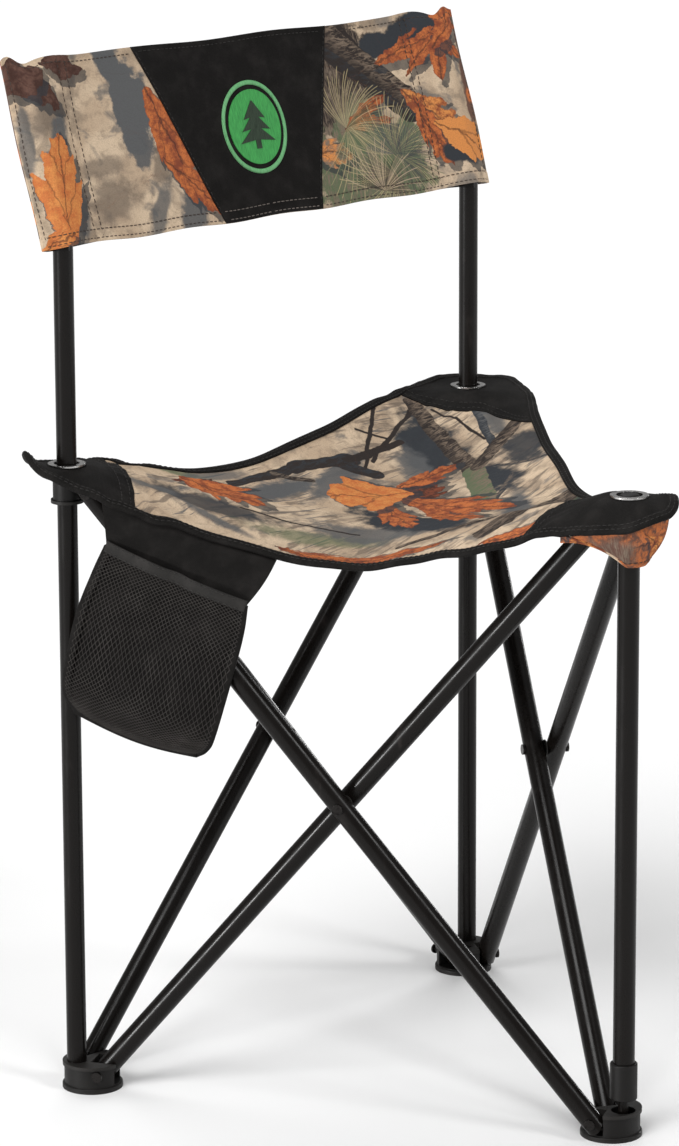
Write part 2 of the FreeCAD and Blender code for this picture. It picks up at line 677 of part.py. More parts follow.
def build():
    nodes = {}
    for leg in LEG:
        nodes[leg + "_foot"] = foot(leg)
        nodes[leg + "_foot_pins"] = Part.makeCompound(foot_pins(leg))
        nodes[leg + "_hub"] = hub(leg)
        nodes[leg + "_hub_pins"] = Part.makeCompound(hub_pins(leg))
        nodes[leg + "_grommet"] = grommet(leg)
        nodes[leg + "_corner"] = corner_patch(leg)
    for leg in ("rear_left", "rear_right"):
        nodes[leg + "_post"] = rear_post(leg)
        nodes[leg + "_post_cap"] = post_cap(leg)
    nodes["front_rod"] = rod(LEG["front"] + UP * POST_FOOT_Z,
                             LEG["front"] + UP * ROD_TOP_Z, ROD_OD / 2)
    nodes["front_rod_guide"] = front_rod_guide()
    nodes["front_tube"] = front_tube()
    nodes["front_tube_bush"] = front_bush()
    nodes["front_tube_cap"] = front_cap()
    nodes["front_corner_flap"] = front_corner_flap()
    for pair in PAIRS:
        nodes[pair + "_outside_brace"] = brace(pair, True)
        nodes[pair + "_inside_brace"] = brace(pair, False)
        nodes[pair + "_centre_rivet"] = centre_rivet(pair)
        nodes[pair + "_centre_spacer"] = centre_spacer(pair)
        for leg in PAIRS[pair]:
            nodes["seat_" + pair + "_edge_" + leg + "_gore"] = seat_gore(leg, pair)
    for name, side in (("left", -1.0), ("right", 1.0)):
        nodes["backrest_" + name + "_sleeve"] = sleeve("rear_" + name)
        nodes["backrest_" + name + "_panel"] = back_panel(side)
        nodes["backrest_" + name + "_patch"] = back_patch(side)
        nodes["backrest_" + name + "_badge"] = badge(side)
    nodes["pocket_back"] = pocket_back()
    nodes["pocket_mesh"] = pocket_mesh()
    nodes["pocket_hem"] = pocket_hem()
    return nodes


def main():
    os.makedirs("parts", exist_ok=True)
    box = FreeCAD.BoundBox()
    for name, shape in build().items():
        assert shape.isValid(), name
        shape.exportStep("parts/" + name + ".step")
        box.add(shape.BoundBox)
        print(name, len(shape.Solids), round(shape.Volume / 1000.0, 2), "cm3")
    print("box", [round(v, 2) for v in (box.XMin, box.XMax, box.YMin, box.YMax, box.ZMin, box.ZMax)])


if __name__ == "__main__":
    main()
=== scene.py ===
import math

import bmesh
import bpy
import numpy as np
from mathutils import Matrix, Vector


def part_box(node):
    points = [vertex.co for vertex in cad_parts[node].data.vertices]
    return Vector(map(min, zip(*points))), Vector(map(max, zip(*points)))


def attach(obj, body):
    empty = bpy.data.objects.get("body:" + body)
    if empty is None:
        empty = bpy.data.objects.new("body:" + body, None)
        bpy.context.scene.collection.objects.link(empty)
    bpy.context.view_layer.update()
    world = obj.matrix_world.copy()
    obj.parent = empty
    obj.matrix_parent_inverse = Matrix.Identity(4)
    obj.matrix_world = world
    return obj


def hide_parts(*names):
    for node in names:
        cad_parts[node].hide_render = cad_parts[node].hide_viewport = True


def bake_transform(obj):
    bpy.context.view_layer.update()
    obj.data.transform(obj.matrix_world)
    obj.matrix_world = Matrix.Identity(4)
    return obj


# Folding three leg stool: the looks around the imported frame.
# Everything is in metres in the frame's own axes; MM turns millimetres into metres.

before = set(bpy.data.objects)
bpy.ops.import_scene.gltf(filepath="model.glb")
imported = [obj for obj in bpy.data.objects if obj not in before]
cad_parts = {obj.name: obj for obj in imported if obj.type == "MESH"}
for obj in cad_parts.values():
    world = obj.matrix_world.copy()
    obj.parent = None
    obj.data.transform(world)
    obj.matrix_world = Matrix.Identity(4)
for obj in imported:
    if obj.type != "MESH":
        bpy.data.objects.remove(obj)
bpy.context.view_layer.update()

MM = 0.001
UP = np.array([0.0, 0.0, 1.0])

# ---- places, from the frame ---------------------------------------------------------


def unit(v):
    v = np.asarray(v, float)
    return v / np.linalg.norm(v)


def all_unit(vectors):
    """Each vector of a list, made one long."""
    return np.array([unit(v) for v in vectors])


def middle(node):
    """Centre of a node's box."""
    low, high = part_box(node)
    return np.array((low + high) / 2)


def leg_axis(leg):
    """Foot of a leg's axis, on the floor."""
    if leg == "front":
        x, y, _ = middle("front_tube")
        return np.array([x, y, 0.0])
    low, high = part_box(leg + "_post")
    return np.array([(low.x + high.x) / 2, low.y + (high.x - low.x) / 2, 0.0])


LEG = {name: leg_axis(name) for name in ("front", "rear_left", "rear_right")}
CENTRE = sum(LEG.values()) / 3
SPACING = np.linalg.norm(LEG["rear_left"] - LEG["rear_right"])
SEAT_Z = middle("rear_left_grommet")[2]
PAIRS = {
    "left": ("rear_left", "front"),
    "rear": ("rear_left", "rear_right"),
    "right": ("rear_right", "front"),
}

# ---- seat dimensions ----------------------------------------------------------------

SEAT_CENTRE_DROP = 52 * MM
FLAT_AROUND_POST = 15 * MM     # the fabric stays level this far from a leg's axis
CORNER_ROUND = 0.04            # softness of the change from level to slope
HOLE_RADIUS = 11 * MM
NOSE_RADIUS = 34 * MM
NOSE_REACH = {"front": 34 * MM, "rear_left": 30.5 * MM, "rear_right": 34 * MM}
NOSE_ARC = math.radians(60)
NOSE_LIFT = {"front": -9 * MM, "rear_left": 12 * MM, "rear_right": 3 * MM}
HOLE_SHARE = 0.3               # of a seat sector's sweep, spent round the hole
RIM_AT_HOLE_END = 80 * MM
PUFF = 1.7                     # how late the fabric turns towards its edge
WRINKLES_FROM = 30 * MM        # nearer to a leg's axis than this, the wrinkles fade out

# Each free edge, from its first leg: distance along, distance outwards, height, in mm.
EDGE = {
    "left": [(0, 34, 481), (36, 30, 465), (106, 10, 439), (207, -9, 416),
             (300, 5, 435.5), (391, 30, 461), (424, 34, 464)],
    "rear": [(0, 34, 480), (60, 26, 473), (130, -3, 460), (176, -8, 460.5),
             (255, -5, 474), (326, 12, 481), (424, 36, 486)],
    "right": [(0, 40, 485), (25, 42, 483), (100, 29, 475), (156, 21, 467),
              (219, 12, 465), (304, 8, 457), (360, 20, 466), (424, 34, 482)],
}

# How far each black corner reaches: inwards from the leg, and along each of its edges.
PATCH_INWARD = {"front": 60 * MM, "rear_left": 44 * MM, "rear_right": 48 * MM}
PATCH_ALONG = {
    ("front", "left"): 76 * MM, ("front", "right"): 98 * MM,
    ("rear_left", "left"): 60 * MM, ("rear_left", "rear"): 50 * MM,
    ("rear_right", "rear"): 60 * MM, ("rear_right", "right"): 110 * MM,
}

CAMO_THICKNESS = 1.2 * MM
PATCH_TOP = 0.9 * MM
PATCH_LOW = -1.5 * MM

# ---- backrest dimensions ------------------------------------------------------------

BEND_Z = 650 * MM
BACK_LEAN = math.radians(18)
BACK_LOW = -5 * MM
BACK_HIGH = 135 * MM
SLEEVE_RADIUS = 8.3 * MM
SLEEVE_SEAM = 31 * MM
SLEEVE_EDGE = 21.5 * MM
SLEEVE_CLOSES = 127 * MM       # height on the back where the sleeve is sewn shut
PANEL_LAYER = 0.9 * MM
PANEL_THICKNESS = 0.75 * MM
HEM_ROWS = (4 * MM, -2.5 * MM)  # heights of the stitch rows along the bottom
PATCH_TOP_HALF = {-1: 106 * MM, 1: 95 * MM}
PATCH_LOW_HALF = {-1: 49 * MM, 1: 51 * MM}
BADGE_HEIGHT = 64 * MM
BADGE_HALF = (33 * MM, 36 * MM)
# The badge's tree, in mm about its middle: top, bottom and half width of each tier and the trunk.
TREE_TIERS = [(20, 8, 11), (11, -1, 14.5), (2, -10, 18), (-10, -17, 2.6)]

# ---- meshes -------------------------------------------------------------------------


def hermite(knots, values):
    """Smooth curve through a few values."""
    knots = np.asarray(knots, float)
    values = np.asarray(values, float)
    slopes = np.gradient(values, knots)

    def value(t):
        t = np.clip(t, knots[0], knots[-1])
        i = np.clip(np.searchsorted(knots, t, side="right") - 1, 0, len(knots) - 2)
        step = knots[i + 1] - knots[i]
        s = (t - knots[i]) / step
        rise = (1 + 2 * s) * (1 - s) ** 2 * values[i] + s * s * (3 - 2 * s) * values[i + 1]
        bend = s * (1 - s) ** 2 * slopes[i] + s * s * (s - 1) * slopes[i + 1]
        return rise + step * bend

    return value


def smooth(t):
    """Soft step from 0 to 1."""
    t = np.clip(t, 0.0, 1.0)
    return t * t * (3 - 2 * t)


def run_along(path):
    """Distance along a path, at each of its points."""
    return np.concatenate([[0], np.cumsum(np.linalg.norm(np.diff(path, axis=0), axis=1))])


def add_mesh(name, points, faces, uv=None, materials=(), face_materials=None, sharp=50):
    """New piece; edges turning by more than sharp degrees stay crisp."""
    mesh = bpy.data.meshes.new(name)
    mesh.from_pydata([tuple(p) for p in points], [], [tuple(f) for f in faces])
    for material in materials:
        mesh.materials.append(material)
    if face_materials is not None:
        mesh.polygons.foreach_set("material_index", np.asarray(face_materials, np.int32))
    if uv is not None:
        layer = mesh.uv_layers.new(name="pattern")
        corners = np.empty(len(mesh.loops), np.int32)
        mesh.loops.foreach_get("vertex_index", corners)
        layer.data.foreach_set("uv", np.asarray(uv, np.float32)[corners].ravel())
    mesh.validate()
    mesh.shade_smooth()
    mesh.set_sharp_from_angle(angle=math.radians(sharp))
    piece = bpy.data.objects.new(name, mesh)
    bpy.context.scene.collection.objects.link(piece)
    return piece


def grid_normals(grid):
    """Unit normals of a grid of points."""
    along = np.gradient(grid, axis=0)
    across = np.gradient(grid, axis=1)
    normals = np.cross(along, across)
    length = np.linalg.norm(normals, axis=2, keepdims=True)
    return normals / np.maximum(length, 1e-12)


def shell(name, top, low, uv, materials):
    """Closed piece of fabric between two grids; the second material is the underside's."""
    rows, columns = top.shape[:2]
    total = rows * columns
    ids = np.arange(total).reshape(rows, columns)
    faces = []
    kinds = []

    def quad(a, b, c, d, kind):
        faces.append((a, b, c, d))
        kinds.append(kind)

    normal = grid_normals(top)
    up_side = np.sum(normal * (top - low)) > 0
    for i in range(rows - 1):
        for j in range(columns - 1):
            a, b, c, d = ids[i, j], ids[i + 1, j], ids[i + 1, j + 1], ids[i, j + 1]
            if not up_side:
                a, b, c, d = d, c, b, a
            quad(a, b, c, d, 0)
            quad(d + total, c + total, b + total, a + total, 1)
    rim = [(ids[i, 0], ids[i + 1, 0]) for i in range(rows - 1)]
    rim += [(ids[i + 1, -1], ids[i, -1]) for i in range(rows - 1)]
    rim += [(ids[-1, j], ids[-1, j + 1]) for j in range(columns - 1)]
    rim += [(ids[0, j + 1], ids[0, j]) for j in range(columns - 1)]
    for a, b in rim:
        if up_side:
            quad(b, a, a + total, b + total, 0)
        else:
            quad(a, b, b + total, a + total, 0)
    points = np.concatenate([top.reshape(-1, 3), low.reshape(-1, 3)])
    coordinates = np.concatenate([uv.reshape(-1, 2)] * 2)
    if len(materials) == 1:
        kinds = None
    return add_mesh(name, points, faces, coordinates, materials, kinds)


def sweep(name, centres, outs, ups, profile, material):
    """Closed profile of (outwards, up) points in millimetres, drawn along a path."""
    profile = np.array(profile, float) * MM
    count, size = len(centres), len(profile)
    points = np.stack([centres + outs * out + ups * up for out, up in profile], axis=1)
    ids = np.arange(count * size).reshape(count, size)
    faces = []
    for i in range(count - 1):
        for j in range(size):
            m = (j + 1) % size
            faces.append((ids[i, j], ids[i, m], ids[i + 1, m], ids[i + 1, j]))
    faces.append(tuple(reversed(ids[0])))
    faces.append(tuple(ids[-1]))
    uv = np.zeros((count, size, 2))
    uv[..., 0] = run_along(centres)[:, None]
    uv[..., 1] = profile[:, 0]
    piece = add_mesh(name, points.reshape(-1, 3), faces, uv.reshape(-1, 2), [material])
    fix_outside(piece)
    return piece


def fix_outside(piece):
    """Turns every face of a closed piece outwards."""
    work = bmesh.new()
    work.from_mesh(piece.data)
    bmesh.ops.recalc_face_normals(work, faces=work.faces)
    work.to_mesh(piece.data)
    work.free()


STITCH_LENGTH = 3.1 * MM
STITCH_PITCH = 4.3 * MM
STITCH_RADIUS = 0.36 * MM
STITCH_SIDES = 6
# Rings of one stitch: share of its length, of its radius, and height in radii.
STITCH_RINGS = [(-0.5, 0.4, -0.5), (-0.36, 0.9, 0.2), (0.0, 1.0, 0.5), (0.36, 0.9, 0.2), (0.5, 0.4, -0.5)]


def stitches(name, rows, material):
    """Rows of sewn stitches; each row is (points, surface normals)."""
    points = []
    faces = []
    sides = STITCH_SIDES
    for path, normals in rows:
        run = run_along(path)
        for at in np.arange(STITCH_PITCH / 2, run[-1] - STITCH_PITCH / 2, STITCH_PITCH):
            ends = [at - STITCH_LENGTH / 2, at + STITCH_LENGTH / 2]
            start, end = [np.array([np.interp(e, run, path[:, k]) for k in range(3)]) for e in ends]
            centre = (start + end) / 2
            way = unit(end - start)
            up = unit([np.interp(at, run, normals[:, k]) for k in range(3)])
            side = np.cross(up, way)
            first = len(points)
            for along, width, lift in STITCH_RINGS:
                ring = centre + way * along * STITCH_LENGTH + up * lift * STITCH_RADIUS
                for k in range(sides):
                    turn = 2 * math.pi * k / sides
                    reach = STITCH_RADIUS * width
                    points.append(ring + side * math.cos(turn) * reach + up * math.sin(turn) * reach)
            for i in range(len(STITCH_RINGS) - 1):
                for k in range(sides):
                    m = (k + 1) % sides
                    low, high = first + i * sides, first + (i + 1) * sides
                    faces.append((low + k, low + m, high + m, high + k))
            faces.append([first + k for k in reversed(range(sides))])
            last = first + (len(STITCH_RINGS) - 1) * sides
            faces.append([last + k for k in range(sides)])
    piece = add_mesh(name, points, faces, None, [material], sharp=80)
    fix_outside(piece)
    return piece


# ---- material building --------------------------------------------------------------


class Value:
    """An output in a shader; arithmetic on it adds Math nodes."""

    def __init__(self, graph, socket):
        self.graph = graph
        self.socket = socket

    def __add__(self, other):
        return self.graph.math("ADD", self, other)

    def __sub__(self, other):
        return self.graph.math("SUBTRACT", self, other)

    def __rsub__(self, other):
        return self.graph.math("SUBTRACT", other, self)

    def __mul__(self, other):
        return self.graph.math("MULTIPLY", self, other)

    def __truediv__(self, other):
        return self.graph.math("DIVIDE", self, other)

    def __abs__(self):
        return self.graph.math("ABSOLUTE", self)


class Graph:
    """Short calls that build shader nodes."""

    def __init__(self, tree):
        self.tree = tree

    def link(self, value, socket):
        """Feeds a socket from another socket, or sets it to a fixed value."""
        if isinstance(value, Value):
            value = value.socket
        if isinstance(value, bpy.types.NodeSocket):
            self.tree.links.new(value, socket)
        elif value is not None:
            socket.default_value = value

    def add(self, kind, inputs=(), **settings):
        node = self.tree.nodes.new("ShaderNode" + kind)
        for key, value in settings.items():
            setattr(node, key, value)
        pairs = inputs.items() if isinstance(inputs, dict) else enumerate(inputs)
        for key, value in pairs:
            self.link(value, node.inputs[key])
        return node

    def math(self, operation, *values):
        return Value(self, self.add("Math", values, operation=operation).outputs[0])

    def mix(self, factor, a, b):
        a, b = ((*c, 1.0) if isinstance(c, tuple) else c for c in (a, b))
        return self.add("Mix", {0: factor, 6: a, 7: b}, data_type="RGBA").outputs[2]

    def ramp(self, value, low, high, start=0.0, end=1.0):
        inputs = (value, low, high, start, end)
        return Value(self, self.add("MapRange", inputs, interpolation_type="SMOOTHSTEP").outputs[0])

    def noise(self, vector, scale, detail=3.0, roughness=0.55, distortion=0.0, output=0):
        inputs = {"Vector": vector, "Scale": scale, "Detail": detail,
                  "Roughness": roughness, "Distortion": distortion}
        return Value(self, self.add("TexNoise", inputs).outputs[output])

    def scaled(self, vector, amount):
        return self.add("VectorMath", {"Vector": vector, "Scale": amount}, operation="SCALE").outputs[0]

    def warped(self, vector, scale, detail, amount):
        """Coordinates pushed about by noise."""
        push = self.noise(vector, scale, detail, 0.6, output=1)
        centred = self.add("VectorMath", (push, (0.5, 0.5, 0.5)), operation="SUBTRACT").outputs[0]
        return self.add("VectorMath", (vector, self.scaled(centred, amount)), operation="ADD").outputs[0]

    def stretch(self, vector, scale, turn=0.0, shift=(0.0, 0.0, 0.0)):
        inputs = {"Vector": vector, "Location": shift, "Rotation": (0.0, 0.0, turn), "Scale": scale}
        return self.add("Mapping", inputs).outputs[0]

    def split(self, vector):
        return [Value(self, socket) for socket in self.add("SeparateXYZ", (vector,)).outputs]

    def bump(self, height, strength, distance, normal=None):
        inputs = {"Height": height, "Strength": strength, "Distance": distance, "Normal": normal}
        return self.add("Bump", inputs).outputs[0]

    def turned(self, vector, given):
        """Coordinates about a motif's centre, turned so that the first runs along its angle."""
        px, py, _ = self.split(vector)
        dx, dy = px - given["X"], py - given["Y"]
        cosine = self.math("COSINE", given["Angle"])
        sine = self.math("SINE", given["Angle"])
        return dx * cosine + dy * sine, dy * cosine - dx * sine


def new_group(name, inputs, outputs):
    """Group with a place, an angle and a few numbers as its inputs."""
    tree = bpy.data.node_groups.new(name, "ShaderNodeTree")
    tree.interface.new_socket("Vector", in_out="INPUT", socket_type="NodeSocketVector")
    for label in ("X", "Y", "Angle", *inputs):
        tree.interface.new_socket(label, in_out="INPUT", socket_type="NodeSocketFloat")
    for label in outputs:
        tree.interface.new_socket(label, in_out="OUTPUT", socket_type="NodeSocketFloat")
    graph = Graph(tree)
    start = tree.nodes.new("NodeGroupInput")
    end = tree.nodes.new("NodeGroupOutput")
    given = {socket.name: Value(graph, socket) for socket in start.outputs if socket.name}
    return graph, given, end.inputs


def leaf_group():
    """A lobed leaf: its mask, its veins and its rim."""
    g, given, result = new_group("leaf", ("Length", "Width", "Lobes", "Depth"), ("Mask", "Vein", "Rim"))
    along, across = g.turned(g.warped(given["Vector"], 0.09, 4.0, 12.0), given)
    p = along / given["Length"] + 0.5
    q = abs(across)
    inside = g.math("SINE", g.math("MAXIMUM", g.math("MINIMUM", p, 1.0), 0.0) * math.pi)
    body = g.math("POWER", inside, 0.7)
    phase = (p - q / given["Width"] * 1.2) * given["Lobes"]
    wave = g.math("SINE", phase * (2 * math.pi))
    cut = (1.0 - wave) * (given["Depth"] * 0.5)
    inwards = given["Width"] * 0.5 * (body * (1.0 - cut)) - q
    g.link(g.ramp(inwards, -0.3, 0.5), result["Mask"])
    g.link(g.ramp(inwards, 0.4, 3.2, 1.0, 0.0), result["Rim"])
    middle_vein = g.ramp(q, 0.3, 1.1, 1.0, 0.0)
    side_vein = g.ramp(abs(g.math("FRACT", phase) - 0.75), 0.02, 0.09, 0.7, 0.0)
    g.link(g.math("MAXIMUM", middle_vein, side_vein), result["Vein"])
    return g.tree


def branch_group():
    """A branch between two points: its mask, and how far across it a point is."""
    g, given, result = new_group("branch", ("Length", "Width", "Rough"), ("Mask", "Across"))
    along, across = g.turned(g.warped(given["Vector"], 0.045, 3.0, given["Rough"]), given)
    beyond = g.math("MAXIMUM", abs(along) - given["Length"] * 0.5, 0.0)
    q = abs(across)
    away = g.math("SQRT", beyond * beyond + q * q)
    g.link(g.ramp(given["Width"] * 0.5 - away, -0.35, 0.35), result["Mask"])
    g.link(across / given["Width"], result["Across"])
    return g.tree


def needle_group():
    """A fan of pine needles about a point: its mask, and a number for each needle."""
    g, given, result = new_group("needles", ("Radius", "Spread", "Count"), ("Mask", "Tint"))
    along, across = g.turned(given["Vector"], given)
    r = g.math("SQRT", along * along + across * across)
    turn = g.math("ARCTAN2", across, along)
    cells = (turn + r * 0.006) * (given["Count"] / (2 * math.pi))
    noise = g.add("TexWhiteNoise", {"W": g.math("FLOOR", cells)}, noise_dimensions="1D")
    own = Value(g, noise.outputs[0])
    offset = g.math("FRACT", cells) - (own * 0.4 + 0.3)
    gap = abs(offset) * (r * (2 * math.pi) / given["Count"])
    line = g.ramp(gap, 0.15, 0.55, 1.0, 0.0)
    near = g.ramp(given["Radius"] * (own * 0.5 + 0.5) - r, 0.0, 2.0)
    fan = g.ramp(given["Spread"] - abs(turn), -0.05, 0.15)
    g.link(line * near * fan, result["Mask"])
    g.link(own, result["Tint"])
    return g.tree


def blotch_group():
    """A soft cloudy spot."""
    g, given, result = new_group("blotch", ("Length", "Width", "Soft"), ("Mask",))
    along, across = g.turned(given["Vector"], given)
    p = along / given["Length"]
    q = across / given["Width"]
    ragged = (g.noise(given["Vector"], 0.06, 5.0, 0.6) - 0.5) * 1.7
    edge = g.math("SQRT", p * p + q * q) * 2.0 + ragged
    g.link(g.ramp(edge, 1.0 - given["Soft"], given["Soft"] + 1.0, 1.0, 0.0), result["Mask"])
    return g.tree


MOTIFS = {
    "leaf": leaf_group(),
    "branch": branch_group(),
    "needles": needle_group(),
    "blotch": blotch_group(),
}


def new_material(name):
    material = bpy.data.materials.new(name)
    material.use_nodes = True
    material.node_tree.nodes.clear()
    return material, Graph(material.node_tree)


def finished(material, g, colour, rough, normal=None, specular=None, metallic=None):
    """Wires the looks of a material to its shader."""
    shader = g.add("BsdfPrincipled", {"Base Color": colour, "Roughness": rough, "Normal": normal,
                                      "Specular IOR Level": specular, "Metallic": metallic})
    g.add("OutputMaterial", {"Surface": shader.outputs[0]})
    return material


def object_place(g):
    return g.add("TexCoord").outputs["Object"]


def pattern_mm(g):
    """Pattern coordinates, in millimetres."""
    return g.scaled(g.add("UVMap", uv_map="pattern").outputs[0], 1000.0)


def weave(g, where, pitch, strength, distance, normal=None):
    """Bump of a plain weave with a given thread pitch in millimetres."""
    x, y, _ = g.split(where)
    turns = math.pi / pitch
    threads = g.math("SINE", x * turns) * g.math("SINE", y * turns)
    return g.bump(threads + g.noise(where, 1.4, 2.0) * 1.2, strength, distance, normal)


BEIGE = (0.46, 0.345, 0.24)
PALE = (0.58, 0.45, 0.32)
TAN = (0.24, 0.185, 0.135)
SHADE = (0.155, 0.122, 0.095)
STONE = (0.098, 0.100, 0.102)
SLATE = (0.034, 0.038, 0.044)
ORANGE = (0.50, 0.150, 0.048)
AMBER = (0.60, 0.235, 0.070)
RUST = (0.215, 0.058, 0.030)
MAROON = (0.058, 0.028, 0.022)
BARK = (0.185, 0.140, 0.105)
BARK_DARK = (0.030, 0.024, 0.022)
GREEN = (0.105, 0.135, 0.075)
STRAW = (0.44, 0.36, 0.20)
BROWN = (0.115, 0.060, 0.046)


def fabric_ground(g, where, streaks):
    """Blurred beige ground of the print; streaks adds drawn-out marks."""
    broad = g.noise(where, 0.022, 3.0, 0.5, 0.6)
    colour = g.mix(g.ramp(broad, 0.40, 0.60), BEIGE, PALE)
    mottle = g.noise(where, 0.050, 4.0, 0.55, 0.7)
    colour = g.mix(g.ramp(mottle, 0.48, 0.68, 0.0, 0.75), colour, TAN)
    fine = g.noise(where, 0.13, 4.0, 0.55)
    colour = g.mix(g.ramp(fine, 0.52, 0.75, 0.0, 0.45), colour, SHADE)
    turned = g.stretch(where, (1.0, 1.6, 1.0), 0.4, (40.0, 10.0, 0.0))
    clouds = g.noise(turned, 0.030, 4.0, 0.5, 0.7)
    colour = g.mix(g.ramp(clouds, 0.57, 0.68, 0.0, 0.70), colour, STONE)
    if streaks:
        drawn = g.noise(g.stretch(where, (0.22, 1.5, 1.0), 0.62), 0.10, 4.0, 0.6, 0.4)
        colour = g.mix(g.ramp(drawn, 0.54, 0.63, 0.0, 0.80), colour, SHADE)
        thin = g.noise(g.stretch(where, (0.16, 2.2, 1.0), 0.95, (9.0, 4.0, 0.0)), 0.14, 3.0, 0.5, 0.5)
        colour = g.mix(g.ramp(thin, 0.62, 0.67, 0.0, 0.85), colour, STONE)
    return colour


def use_motif(g, where, kind, x, y, degrees, *values):
    """Outputs of one motif; x, y and the other lengths are in millimetres."""
    node = g.add("Group")
    node.node_tree = MOTIFS[kind]
    for socket, value in zip(node.inputs, (where, x, y, math.radians(degrees), *values)):
        g.link(value, socket)
    return [Value(g, socket) for socket in node.outputs]


def blotch(g, where, colour, x, y, degrees, length, width, tone, soft=0.35, amount=0.9):
    mask, = use_motif(g, where, "blotch", x, y, degrees, length, width, soft)
    return g.mix(mask * amount, colour, tone)


def leaf(g, where, colour, x, y, degrees, length, width, lobes, depth, light=ORANGE, dark=RUST):
    shape = (degrees, length * 1.1, width * 1.15, lobes, depth)
    shadow, _, _ = use_motif(g, where, "leaf", x + 3, y - 5, *shape)
    colour = g.mix(shadow * 0.75, colour, SLATE)
    mask, vein, rim = use_motif(g, where, "leaf", x, y, degrees, length, width, lobes, depth)
    tone = g.mix(g.ramp(g.noise(where, 0.10, 5.0, 0.7), 0.40, 0.62), light, dark)
    speckle = g.noise(where, 0.45, 4.0, 0.7)
    tone = g.mix(g.ramp(speckle, 0.50, 0.70, 0.0, 0.7), tone, dark)
    tone = g.mix(rim * 0.6, tone, dark)
    tone = g.mix(vein * 0.7, tone, MAROON)
    return g.mix(mask, colour, tone)


def branch(g, where, colour, start, end, width, rough=5.0, light=BARK, dark=BARK_DARK):
    dx, dy = end[0] - start[0], end[1] - start[1]
    angle = math.atan2(dy, dx)
    x, y = (start[0] + end[0]) / 2, (start[1] + end[1]) / 2
    values = (math.degrees(angle), math.hypot(dx, dy), width, rough)
    mask, across = use_motif(g, where, "branch", x, y, *values)
    grain = g.noise(g.stretch(where, (0.25, 1.0, 1.0), angle), 0.35, 5.0, 0.7, 1.0)
    tone = g.mix(g.ramp(grain, 0.42, 0.60), dark, light)
    tone = g.mix(g.ramp(across, -0.5, 0.2, 0.75, 0.0), tone, dark)
    return g.mix(mask, colour, tone)


def twig(g, where, colour, start, end, width, rough):
    return branch(g, where, colour, start, end, width, rough, BARK_DARK)


def bark(g, where, colour, x, y, degrees, length, width, light, dark, soft=0.12):
    """Patch of upright bark or dry grass."""
    mask, = use_motif(g, where, "blotch", x, y, degrees, length, width, soft)
    grain = g.noise(g.stretch(where, (1.0, 0.16, 1.0), 0.1), 0.55, 5.0, 0.7, 0.8)
    tone = g.mix(g.ramp(grain, 0.42, 0.60), dark, light)
    tone = g.mix(g.ramp(g.noise(where, 0.07), 0.40, 0.65, 0.0, 0.7), tone, dark)
    return g.mix(mask, colour, tone)


def needles(g, where, colour, x, y, degrees, radius, spread, count, light, dark):
    mask, tint = use_motif(g, where, "needles", x, y, degrees, radius, math.radians(spread), count)
    return g.mix(mask * 0.7, colour, g.mix(g.ramp(tint, 0.3, 0.8), dark, light))


def camo_material(name, layers, streaks=False):
    """Printed polyester: cloudy ground, then leaves, branches and needles in turn."""
    material, g = new_material(name)
    where = pattern_mm(g)
    colour = fabric_ground(g, where, streaks)
    for draw, *values in layers:
        colour = draw(g, where, colour, *values)
    colour = g.mix(g.ramp(g.noise(where, 0.9, 2.0), 0.35, 0.75, 0.0, 0.22), colour, (0.05, 0.045, 0.04))
    rough = g.ramp(g.noise(where, 0.2, 2.0), 0.3, 0.7, 0.78, 0.92)
    crease = g.noise(g.stretch(where, (1.0, 0.35, 1.0), 0.5), 0.09, 4.0, 0.6)
    normal = weave(g, where, 0.55, 0.35, 0.00012, g.bump(crease, 0.35, 0.0012))
    return finished(material, g, colour, rough, normal, 0.06)


